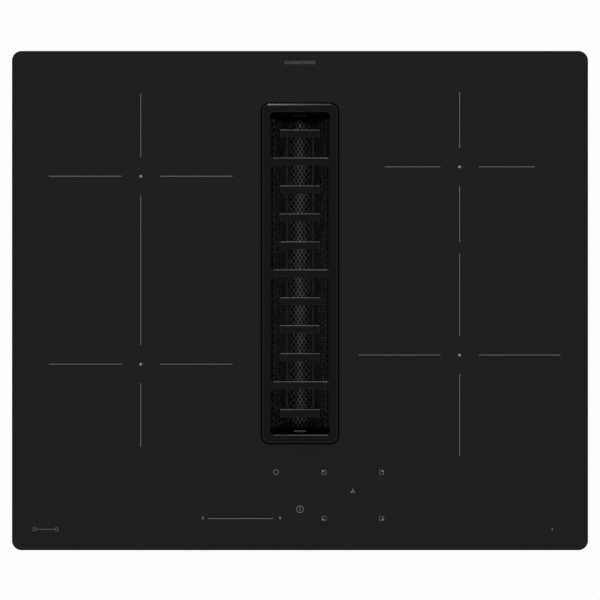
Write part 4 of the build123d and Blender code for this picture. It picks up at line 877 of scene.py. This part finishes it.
@dataclass(frozen=True)
class Ring:
    """A printed ring, its line laid about the radius."""

    middle: Point
    radius: float
    width: float
    sides: int = 40

    def add(self, bm: Mesh, low: float, high: float) -> None:
        """Add the ring to the print.

        Args:
            bm: The print.
            low: Height of its underside.
            high: Height of its upper side.
        """
        x, y = self.middle
        near, far = x + self.radius - self.width / 2, x + self.radius + self.width / 2
        section = ((near, low), (far, low), (far, high), (near, high))
        corners = [bm.verts.new((across, y, z)) for across, z in section]
        face = bm.faces.new(corners)
        edges = list(face.edges)
        bm.faces.remove(face)
        bmesh.ops.spin(
            bm,
            geom=corners + edges,
            cent=(x, y, 0.0),
            axis=(0.0, 0.0, 1.0),
            angle=2 * math.pi,
            steps=self.sides,
            use_merge=True,
        )


@dataclass(frozen=True)
class Outline:
    """The printed outline of a square."""

    middle: Point
    half: float
    width: float

    def add(self, bm: Mesh, low: float, high: float) -> None:
        """Add the outline to the print.

        Args:
            bm: The print.
            low: Height of its underside.
            high: Height of its upper side.
        """
        (x, y), half = self.middle, self.half
        for edge in (-half, half):
            Bar((x - half, y + edge), (x + half, y + edge), self.width).add(bm, low, high)
            Bar((x + edge, y - half), (x + edge, y + half), self.width).add(bm, low, high)


Shape = Union[Bar, Dot, Ring, Outline]


@dataclass(frozen=True)
class Zone:
    """A printed zone cross: its middle and the reach of its arms."""

    middle: Point
    arm: float
    rear_arm: float
    front_arm: float


@dataclass
class GlassPrint:
    """Fired print on the glass: zone crosses, touch symbols, the power slider and plain signs."""

    thickness: float = 0.06 * MM
    sunk: float = 0.02 * MM
    zones: tuple[Zone, ...] = (
        Zone((-0.1658, 0.1295), 0.0955, 0.086, 0.0),
        Zone((-0.1658, -0.0662), 0.0955, 0.0, 0.086),
        Zone((0.1662, 0.1392), 0.078, 0.078, 0.078),
        Zone((0.1662, -0.0567), 0.105, 0.105, 0.105),
    )
    gap: float = 20.0 * MM
    zone_dot: float = 1.4 * MM
    key_columns: Pair = (0.025, 0.085)
    key_rows: Pair = (-0.2267, -0.1787)
    key_half: float = 2.15 * MM
    key_line: float = 0.28 * MM
    key_dot: float = 0.85 * MM
    key_dot_place: float = 0.45
    slider: Bar = Bar((-0.096, -0.227), (-0.0279, -0.227))
    numbers: tuple[tuple[str, Point], ...] = (
        ("0", (-0.1012, -0.2267)),
        ("9", (-0.0208, -0.2267)),
    )
    number_size: float = 4.2 * MM
    timer: Ring = Ring((-0.0251, -0.1787), 2.6 * MM, 0.32 * MM)
    power: Ring = Ring((0.0, -0.2173), 3.45 * MM, 0.45 * MM)
    power_bar: Bar = Bar((0.0, -0.2192), (0.0, -0.2154), 0.5 * MM)
    fan: Point = (0.0549, -0.1985)
    fan_turns: tuple[float, ...] = (90.0, 210.0, 330.0)
    fan_reach: float = 1.5 * MM
    fan_line: float = 0.5 * MM
    fan_dot: float = 0.75 * MM
    row_start: Point = (-0.0142, 0.2479)
    row_step: float = 4.05 * MM
    row_rings: int = 8
    sign_half: float = 1.5 * MM
    sign_line: float = 0.26 * MM
    sign_columns: Pair = (-0.2765, -0.2534)
    front_dot: Dot = Dot((0.2627, -0.2381), 0.7 * MM)

    def build(self) -> None:
        """Build the print as one thin piece, and each number as another."""
        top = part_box("glass_top")[1].z
        low, high = top - self.sunk, top + self.thickness
        bm = bmesh.new()
        for shape in (*self._crosses(), *self._keys(), *self._controls(), *self._signs()):
            shape.add(bm, low, high)
        bmesh.ops.recalc_face_normals(bm, faces=bm.faces)
        finished(bm, "glass_print", [PRINT])
        for text, (x, y) in self.numbers:
            self._number(text, Vector((x, y, (low + high) / 2)))

    def _crosses(self) -> Iterator[Shape]:
        """Lay out the four zone crosses and the line that joins the left pair.

        Returns:
            The shapes, one by one.
        """
        for zone in self.zones:
            x, y = zone.middle
            yield Dot(zone.middle, self.zone_dot, sides=16)
            for side in Side:
                yield Bar((x + side.value * self.gap, y), (x + side.value * zone.arm, y))
            if zone.rear_arm:
                yield Bar((x, y + self.gap), (x, y + zone.rear_arm))
            if zone.front_arm:
                yield Bar((x, y - self.gap), (x, y - zone.front_arm))
        rear, front = self.zones[0].middle, self.zones[1].middle
        yield Bar((rear[0], rear[1] - self.gap), (front[0], front[1] + self.gap))

    def _keys(self) -> Iterator[Shape]:
        """Lay out the zone keys, squares with a dot in the corner that each stands for.

        Returns:
            The shapes, one by one.
        """
        inset = self.key_half * self.key_dot_place
        for x, right in zip(self.key_columns, Side):
            for y, up in zip(self.key_rows, Side):
                yield Outline((x, y), self.key_half, self.key_line)
                yield Dot((x + right.value * inset, y + up.value * inset), self.key_dot)

    def _controls(self) -> Iterator[Shape]:
        """Lay out the slider's line, the timer ring, the power sign and the fan sign.

        Returns:
            The shapes, one by one.
        """
        yield from (self.slider, self.timer, self.power, self.power_bar)
        x, y = self.fan
        for turn in map(math.radians, self.fan_turns):
            tip = (x + math.cos(turn) * self.fan_reach, y + math.sin(turn) * self.fan_reach)
            yield Bar(self.fan, tip, self.fan_line)
            yield Dot(tip, self.fan_dot)

    def _signs(self) -> Iterator[Shape]:
        """Lay out a row of rings at the back, joined squares and a dot in front.

        Returns:
            The shapes, one by one.
        """
        x, y = self.row_start
        for step in range(self.row_rings):
            yield Ring((x + step * self.row_step, y), self.sign_half, self.sign_line, sides=20)
        y = self.front_dot.middle[1]
        for x in self.sign_columns:
            yield Outline((x, y), self.sign_half, self.sign_line)
        left, right = self.sign_columns
        yield Bar((left + self.sign_half, y), (right - self.sign_half, y), self.sign_line)
        yield self.front_dot

    def _number(self, text: str, middle: Vector) -> None:
        """Print a number as a thin mesh.

        Args:
            text: The number.
            middle: Its middle.
        """
        curve = bpy.data.curves.new(f"number_{text}", "FONT")
        curve.body = text
        curve.align_x = curve.align_y = "CENTER"
        curve.size = self.number_size
        curve.extrude = self.thickness / 2
        maker = placed(f"number_{text}_maker", curve)
        bpy.context.view_layer.update()
        mesh = bpy.data.meshes.new_from_object(maker)
        bpy.data.objects.remove(maker)
        bm = bmesh.new()
        bm.from_mesh(mesh)
        bmesh.ops.remove_doubles(bm, verts=bm.verts, dist=MERGE_DISTANCE)
        bmesh.ops.translate(bm, verts=bm.verts, vec=middle)
        finished(bm, f"print_{text}", [PRINT])


# ---------------- grille and filter
@dataclass
class IntakeGrille:
    """The cast grille over the intake, its edges cut and the coat on them a little smoother.

    Drops and depths are taken from the frame's top face. The rises tilt the cut edges and the
    bevels towards the light. A tilt is how far a face's normal rises, from and to.
    """

    chamfer: float = 0.7 * MM
    chamfer_rise: float = 0.16 * MM
    border: float = 1.5 * MM
    border_rise: float = 0.33 * MM
    cut_depth: float = 1.6 * MM
    cut_turn: float = 48.0
    bar_reach: float = 21.5 * MM
    bar_drop: float = 0.8 * MM
    bar_bevel: float = 0.5 * MM
    bar_rise: float = 0.11 * MM
    edge_depth: float = 1.7 * MM
    edge_tilt: Pair = (0.2, 0.99)
    # How far a bevel's normal must look back to take the painted highlight.
    highlight_back: float = 0.4
    web_drop: float = 4.8 * MM
    web_tilt: float = 0.9
    gusset: float = 3.1 * MM
    gusset_tilt: Pair = (0.4, 0.8)
    near: float = 0.03 * MM
    slack: float = 0.05 * MM
    bevel_slack: float = 0.2 * MM
    web_slack: float = 0.1 * MM
    coats: tuple[Finish, ...] = (IRON, IRON_EDGE, IRON_WEB_PAINTED_LIGHT, IRON_PAINTED_HIGHLIGHT)

    def __post_init__(self) -> None:
        """Find the height of the frame's top face."""
        self.top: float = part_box("intake_grille")[1].z

    def build(self) -> None:
        """Build the grille from its CAD node."""
        bm = merged_copy("intake_grille")
        self._lift(bm, self.border, self.border_rise)
        round_edges(bm, self.chamfer, 1, self.cut_turn, self._on_frame, clamp=False)
        self._lift(bm, self.chamfer, self.chamfer_rise)
        self._lift(bm, self.bar_drop + self.bar_bevel, self.bar_rise)
        for face in bm.faces:
            face.material_index = self.coats.index(self._coat(face))
        finished(bm, "intake_grille_cast", self.coats, "intake_grille")

    def _lift(self, bm: Mesh, depth: float, rise: float) -> None:
        """Lift the points that stand at a depth.

        Args:
            bm: The grille.
            depth: Their depth.
            rise: How far they are lifted.
        """
        for vert in bm.verts:
            if abs(self.top - depth - vert.co.z) < self.near:
                vert.co.z += rise

    def _on_frame(self, edge: bmesh.types.BMEdge) -> bool:
        """Tell whether an edge lies on the top face of the frame or on its slanted border.

        Args:
            edge: The edge.

        Returns:
            False for the edges of the short bars, which the CAD has bevelled, and for lower ones.
        """
        depths = [self.top - vert.co.z for vert in edge.verts]
        if max(depths) > self.cut_depth:
            return False
        above, below = self.bar_drop - self.slack, self.bar_drop + self.bar_bevel + self.slack
        inside = all(abs(vert.co.x) < self.bar_reach for vert in edge.verts)
        return not (inside and above < min(depths) and max(depths) < below)

    def _coat(self, face: bmesh.types.BMFace) -> Finish:
        """Return the coat that a face has.

        Args:
            face: The face.

        Returns:
            A glossier copy with a painted highlight on the bars' bevels that look back, smoother on
            other slanted edges and on the gussets, a lighter copy with painted light on the ribs'
            top faces, and the plain one elsewhere.
        """
        depth = self.top - face.calc_center_median().z
        rise = face.normal.z
        edge = depth < self.edge_depth and self.edge_tilt[0] < rise < self.edge_tilt[1]
        bevel = abs(depth - self.bar_drop - self.bar_bevel / 2) < self.bevel_slack
        # Painted highlight: bar bevels that face the lamp take the glossier copy.
        if edge and bevel and face.normal.y > self.highlight_back:
            return IRON_PAINTED_HIGHLIGHT
        gusset = self.web_drop - self.gusset < depth < self.web_drop
        if edge or (gusset and self.gusset_tilt[0] < rise < self.gusset_tilt[1]):
            return IRON_EDGE
        # Painted light: the ribs' top faces take the lighter copy.
        web = abs(depth - self.web_drop) < self.web_slack and rise > self.web_tilt
        return IRON_WEB_PAINTED_LIGHT if web else IRON


@dataclass
class FilterBasket:
    """The grease filter: a trough of expanded metal in a flat rim, with end plates and tabs."""

    depth: float = 96.0 * MM
    floor_half: float = 9.0 * MM
    top_half: float = 29.2 * MM
    bend: float = 10.5 * MM
    sheet: float = 0.7 * MM
    rim_drop: float = 0.3 * MM
    rim_gap: float = 1.2 * MM
    diamond_x: float = 4.2 * MM
    diamond_y: float = 6.9 * MM
    spare: int = 6
    even: float = 7.0 * MM
    stretch: float = 2.7
    strand: float = 1.0 * MM
    twist: float = 0.16 * MM
    frame_softness: float = 0.4 * MM
    tab_softness: float = 0.25 * MM
    end_softness: float = 0.2 * MM

    def build(self) -> None:
        """Build the mesh trough and soften its frame."""
        self._trough()
        softened("filter_frame", self.frame_softness, RIM)
        tabs = softened("filter_pull_tab", self.tab_softness, TAB)
        # The back tab, behind the middle, takes the painted shadow.
        tabs.data.materials.append(TAB_PAINTED_SHADOW.material())
        for polygon in tabs.data.polygons:
            polygon.material_index = int(polygon.center.y > 0.0)
        softened("filter_end_caps", self.end_softness, END_PLATE, 1)

    def _trough(self) -> None:
        """Build the expanded metal as a flat sheet of diamonds, then bend it to the trough."""
        low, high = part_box("filter_mesh")
        slant = math.hypot(self.depth, self.top_half - self.floor_half)
        bm = self._sheet_of_diamonds(self.floor_half + slant - self.rim_gap, (high.y - low.y) / 2)
        lifts = self._open_diamonds(bm)
        middle_y = (high.y + low.y) / 2
        for vert in bm.verts:
            x, z = self._bent(vert.co.x, high.z - self.rim_drop)
            inward = math.copysign(min(abs(x) / self.top_half, 1.0), -x)
            lift = lifts.get(vert, 0.0)
            vert.co = (x + inward * lift, vert.co.y + middle_y, z + self.sheet / 2 + lift)
        bmesh.ops.recalc_face_normals(bm, faces=bm.faces)
        bmesh.ops.solidify(bm, geom=bm.faces[:], thickness=self.sheet)
        finished(bm, "filter_trough", [TROUGH], "filter_mesh", sharp=60.0)

    def _sheet_of_diamonds(self, half_run: float, half_length: float) -> Mesh:
        """Lay a flat sheet of closed diamonds, wider where the slopes will be.

        Args:
            half_run: Half its width, measured along the trough's section.
            half_length: Half its length.

        Returns:
            The sheet, cut to size.
        """
        half_flat = self.even + (half_run - self.even) / self.stretch
        needed = 2 * int(half_flat / self.diamond_x + half_length / self.diamond_y)
        count = needed + self.spare
        size = count / 2 / math.sqrt(2)
        bm = bmesh.new()
        turned = Matrix.Rotation(math.radians(45), 4, "Z")
        bmesh.ops.create_grid(bm, x_segments=count, y_segments=count, size=size)
        bmesh.ops.transform(bm, matrix=turned, verts=bm.verts)
        bmesh.ops.scale(bm, vec=(self.diamond_x, self.diamond_y, 1.0), verts=bm.verts)
        for vert in bm.verts:
            beyond = max(abs(vert.co.x) - self.even, 0.0)
            vert.co.x += math.copysign(beyond * (self.stretch - 1.0), vert.co.x)
        for normal, limit in (((1, 0, 0), half_run), ((0, 1, 0), half_length)):
            for side in Side:
                out = Vector(normal) * side.value
                geom = bm.verts[:] + bm.edges[:] + bm.faces[:]
                bmesh.ops.bisect_plane(
                    bm, geom=geom, plane_co=out * limit, plane_no=out, clear_outer=True
                )
        return bm

    def _open_diamonds(self, bm: Mesh) -> dict[bmesh.types.BMVert, float]:
        """Cut the diamonds open, down to their strands.

        Args:
            bm: The sheet.

        Returns:
            How far each corner of an opening is turned up.
        """
        cells = bmesh.ops.inset_individual(bm, faces=bm.faces[:], thickness=self.strand / 2)
        strands = set(cells["faces"])
        holes = [face for face in bm.faces if face not in strands]
        lifts: dict[bmesh.types.BMVert, float] = {}
        for hole in holes:
            middle = hole.calc_center_median()
            for vert in hole.verts:
                lifts[vert] = self.twist if vert.co.y < middle.y else -self.twist
        bmesh.ops.delete(bm, geom=holes, context="FACES")
        return lifts

    def _bent(self, along: float, top: float) -> tuple[float, float]:
        """Return the place on the trough's section at a distance from the middle of its floor.

        Args:
            along: Signed distance along the section.
            top: Height of the trough's upper edge.

        Returns:
            X and Z.
        """
        slant = math.atan2(self.top_half - self.floor_half, self.depth)
        turn = math.pi / 2 - slant
        radius = self.bend
        flat = self.floor_half - radius * math.tan(turn / 2)
        away = abs(along)
        if away <= flat:
            x, rise = away, 0.0
        elif away <= flat + radius * turn:
            angle = (away - flat) / radius
            x = flat + radius * math.sin(angle)
            rise = radius * (1 - math.cos(angle))
        else:
            rest = away - flat - radius * turn
            x = flat + radius * math.sin(turn) + rest * math.cos(turn)
            rise = radius * (1 - math.cos(turn)) + rest * math.sin(turn)
        return math.copysign(x, along), top - self.depth + rise


# ---------------- casing, housing and small parts
@dataclass
class Casing:
    """The moulded and folded parts below the glass, with the small radii of their making."""

    moulded: float = 0.5 * MM
    small: float = 0.4 * MM
    folded: float = 0.35 * MM

    def build(self) -> None:
        """Soften the parts that show from outside."""
        softened("intake_collar", self.moulded, COLLAR)
        for node in ("base_housing", "outlet_spigot"):
            softened(node, self.moulded)
        for node in ("terminal_box", "terminal_cover", "driver_box", "driver_lid", "cord_clamp"):
            softened(node, self.small)
        softened("hob_tray", self.folded, segments=1)
        softened("drip_tray", self.moulded)


@dataclass(frozen=True)
class Step:
    """One step of a screw head: its radius, heights, sides and how far it narrows."""

    radius: float
    low: float
    high: float
    sides: int
    taper: float


@dataclass
class Screws:
    """Flanged hexagon screws with a driven recess, where the CAD has plain heads."""

    nodes: tuple[str, ...] = ("housing_screws", "tray_screws", "scroll_screws", "motor_screws")
    hanging: tuple[str, ...] = ("housing_screws", "tray_screws")
    flange: Step = Step(3.75 * MM, 0.0, 0.7 * MM, 28, 0.98)
    head: Step = Step(3.1 * MM, 0.7 * MM, 2.55 * MM, 6, 0.96)
    recess_radius: float = 1.5 * MM
    recess: float = 1.3 * MM

    def build(self) -> None:
        """Build one piece for each node of screws."""
        for node in self.nodes:
            bm = bmesh.new()
            for seat, outward in self._seats(node):
                self._screw(bm, seat, outward)
            finished(bm, f"{node}_heads", [SCREW], node, sharp=30.0)

    def _seats(self, node: str) -> list[tuple[Vector, Vector]]:
        """Find where the heads in a CAD node stand.

        Args:
            node: The node.

        Returns:
            The seat and the outward direction of each head.
        """
        bm = merged_copy(node)
        seen: set[bmesh.types.BMFace] = set()
        seats = []
        for start in bm.faces:
            if start in seen:
                continue
            island = self._island(start)
            seen |= island
            caps = sorted(island, key=lambda face: -face.calc_area())[:2]
            whole = sum((cap.calc_center_median() for cap in caps), Vector()) / 2
            outward = self._outward(node, whole, caps[0].normal)
            seats.append((whole - outward * self.head.high / 2, outward))
        bm.free()
        return seats

    @staticmethod
    def _island(start: bmesh.types.BMFace) -> set[bmesh.types.BMFace]:
        """Find the faces that hang together with one face.

        Args:
            start: The face.

        Returns:
            The faces, with that one among them.
        """
        found, queue = {start}, [start]
        while queue:
            for edge in queue.pop().edges:
                for face in edge.link_faces:
                    if face not in found:
                        found.add(face)
                        queue.append(face)
        return found

    def _outward(self, node: str, middle: Vector, normal: Vector) -> Vector:
        """Tell which way a head looks: down under the hob, out at its sides, else up.

        Args:
            node: The CAD node.
            middle: Middle of the head.
            normal: Normal of one of its caps.

        Returns:
            The direction, along one axis.
        """
        axis = Vector([round(abs(part)) for part in normal])
        inward = node in self.hanging if axis.z else middle.dot(axis) <= 0
        return -axis if inward else axis

    def _screw(self, bm: Mesh, seat: Vector, outward: Vector) -> None:
        """Add one screw head that stands on its seat.

        Args:
            bm: The mesh.
            seat: Middle of the seat.
            outward: Direction that the head looks in.
        """
        turn = Vector((0.0, 0.0, 1.0)).rotation_difference(outward).to_matrix().to_4x4()
        place = Matrix.Translation(seat) @ turn
        for step in (self.flange, self.head):
            made = bmesh.ops.create_cone(
                bm,
                cap_ends=True,
                segments=step.sides,
                radius1=step.radius,
                radius2=step.radius * step.taper,
                depth=step.high - step.low,
                matrix=place @ Matrix.Translation((0, 0, (step.low + step.high) / 2)),
            )
        top = max(
            {face for vert in made["verts"] for face in vert.link_faces},
            key=lambda face: (face.calc_center_median() - seat).dot(outward),
        )
        inset = self.head.radius - self.recess_radius
        bmesh.ops.inset_region(bm, faces=[top], thickness=inset)
        inner = bmesh.ops.extrude_discrete_faces(bm, faces=[top])["faces"]
        bmesh.ops.translate(bm, verts=inner[0].verts, vec=-outward * self.recess)


# ---------------- stage
@dataclass
class Studio:
    """Pale floor, even light with one soft lamp from behind, and a camera straight above."""

    camera_rise: float = 4.0
    camera_y: float = 0.0006
    frame_width: float = 0.6247
    sensor: float = 36.0
    sight: float = 60.0
    world_level: float = 0.75
    lamp_place: tuple[float, float, float] = (-0.3, 2.5, 0.85)
    lamp_aim: tuple[float, float, float] = (0.0, 0.0, 0.2)
    lamp_size: Pair = (0.5, 0.5)
    lamp_power: float = 31.0
    floor_size: float = 14.0
    floor_drop: float = 0.5 * MM
    floor_shade: float = 0.9
    floor_glow: float = 0.98

    def build(self) -> None:
        """Build the floor, the light and the camera."""
        self._floor()
        self._world()
        self._lamp()
        self._camera()

    def _camera(self) -> None:
        """Place the camera that matches the photograph's frame."""
        data = bpy.data.cameras.new("camera")
        data.sensor_width = self.sensor
        data.lens = self.sensor * self.camera_rise / self.frame_width
        data.clip_end = self.sight
        camera = placed("camera", data)
        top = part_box("glass_top")[1].z
        camera.location = (0.0, self.camera_y, top + self.camera_rise)
        bpy.context.scene.camera = camera

    @staticmethod
    def _seen(graph: Graph) -> Wire:
        """Pick the rays that come from the camera, off a mirror or through glass.

        Args:
            graph: The nodes of a material or of the world.

        Returns:
            1 for those rays, else 0.
        """
        kinds = ("Is Camera Ray", "Is Glossy Ray", "Is Transmission Ray")
        camera, glossy, through = [graph.add("ShaderNodeLightPath", output=kind) for kind in kinds]
        settings = {"operation": "ADD", "use_clamp": True}
        return graph.add("ShaderNodeMath", settings, {0: camera + glossy, 1: through})

    def _world(self) -> None:
        """Light the scene evenly, with a white background where it is seen."""
        world = bpy.data.worlds.new("studio")
        world.use_nodes = True
        graph = Graph(world.node_tree)
        strength = self.world_level + self._seen(graph) * (1.0 - self.world_level)
        inputs = {"Color": (1.0, 1.0, 1.0), "Strength": strength}
        glow = graph.add("ShaderNodeBackground", None, inputs)
        graph.add("ShaderNodeOutputWorld", None, {"Surface": glow})
        bpy.context.scene.world = world

    def _floor(self) -> None:
        """Lay the floor, white where it is seen but for the shadow on it, and clear from below."""
        bm = bmesh.new()
        low = Matrix.Translation((0.0, 0.0, -self.floor_drop))
        bmesh.ops.create_grid(bm, x_segments=1, y_segments=1, size=self.floor_size / 2, matrix=low)
        mesh = bpy.data.meshes.new("floor")
        bm.to_mesh(mesh)
        bm.free()
        mesh.materials.append(self._floor_white())
        placed("floor", mesh)

    def _floor_white(self) -> bpy.types.Material:
        """Make the floor's material.

        Returns:
            The material.
        """
        material = bpy.data.materials.new("floor_white")
        material.use_nodes = True
        graph = Graph(material.node_tree)
        shade = (self.floor_shade,) * 3
        paint = graph.add("ShaderNodeBsdfDiffuse", None, {"Color": shade})
        white = {"Color": (1.0, 1.0, 1.0), "Strength": 1.0}
        glow = graph.add("ShaderNodeEmission", None, white)
        share = self._seen(graph) * self.floor_glow
        above = graph.add("ShaderNodeMixShader", None, {0: share, 1: paint, 2: glow})
        below = graph.add("ShaderNodeNewGeometry", output="Backfacing")
        clear = graph.add("ShaderNodeBsdfTransparent")
        whole = graph.add("ShaderNodeMixShader", None, {0: below, 1: above, 2: clear})
        graph.add("ShaderNodeOutputMaterial", None, {"Surface": whole})
        return material

    def _lamp(self) -> None:
        """Hang the soft lamp behind the glass."""
        data = bpy.data.lights.new("back_lamp", "AREA")
        data.shape = "RECTANGLE"
        data.size, data.size_y = self.lamp_size
        data.energy = self.lamp_power
        lamp = placed("back_lamp", data)
        lamp.location = self.lamp_place
        look = Vector(self.lamp_aim) - Vector(self.lamp_place)
        lamp.rotation_euler = look.to_track_quat("-Z", "Y").to_euler()


def dress_nodes() -> None:
    """Give every CAD node the finish of its slot."""
    for name, node in frame["nodes"].items():
        node.data.materials.clear()
        node.data.materials.append(FINISHES[SLOT_OF[name]].material())


def main() -> None:
    """Build the studio, dress the nodes and build each sub-assembly in turn."""
    logging.basicConfig(level=logging.INFO, format="%(message)s")
    bpy.context.scene.view_settings.view_transform = "Standard"
    Studio().build()
    dress_nodes()
    GlassTop().build()
    GlassPrint().build()
    IntakeGrille().build()
    FilterBasket().build()
    Casing().build()
    Screws().build()


if __name__ == "__main__":
    main()
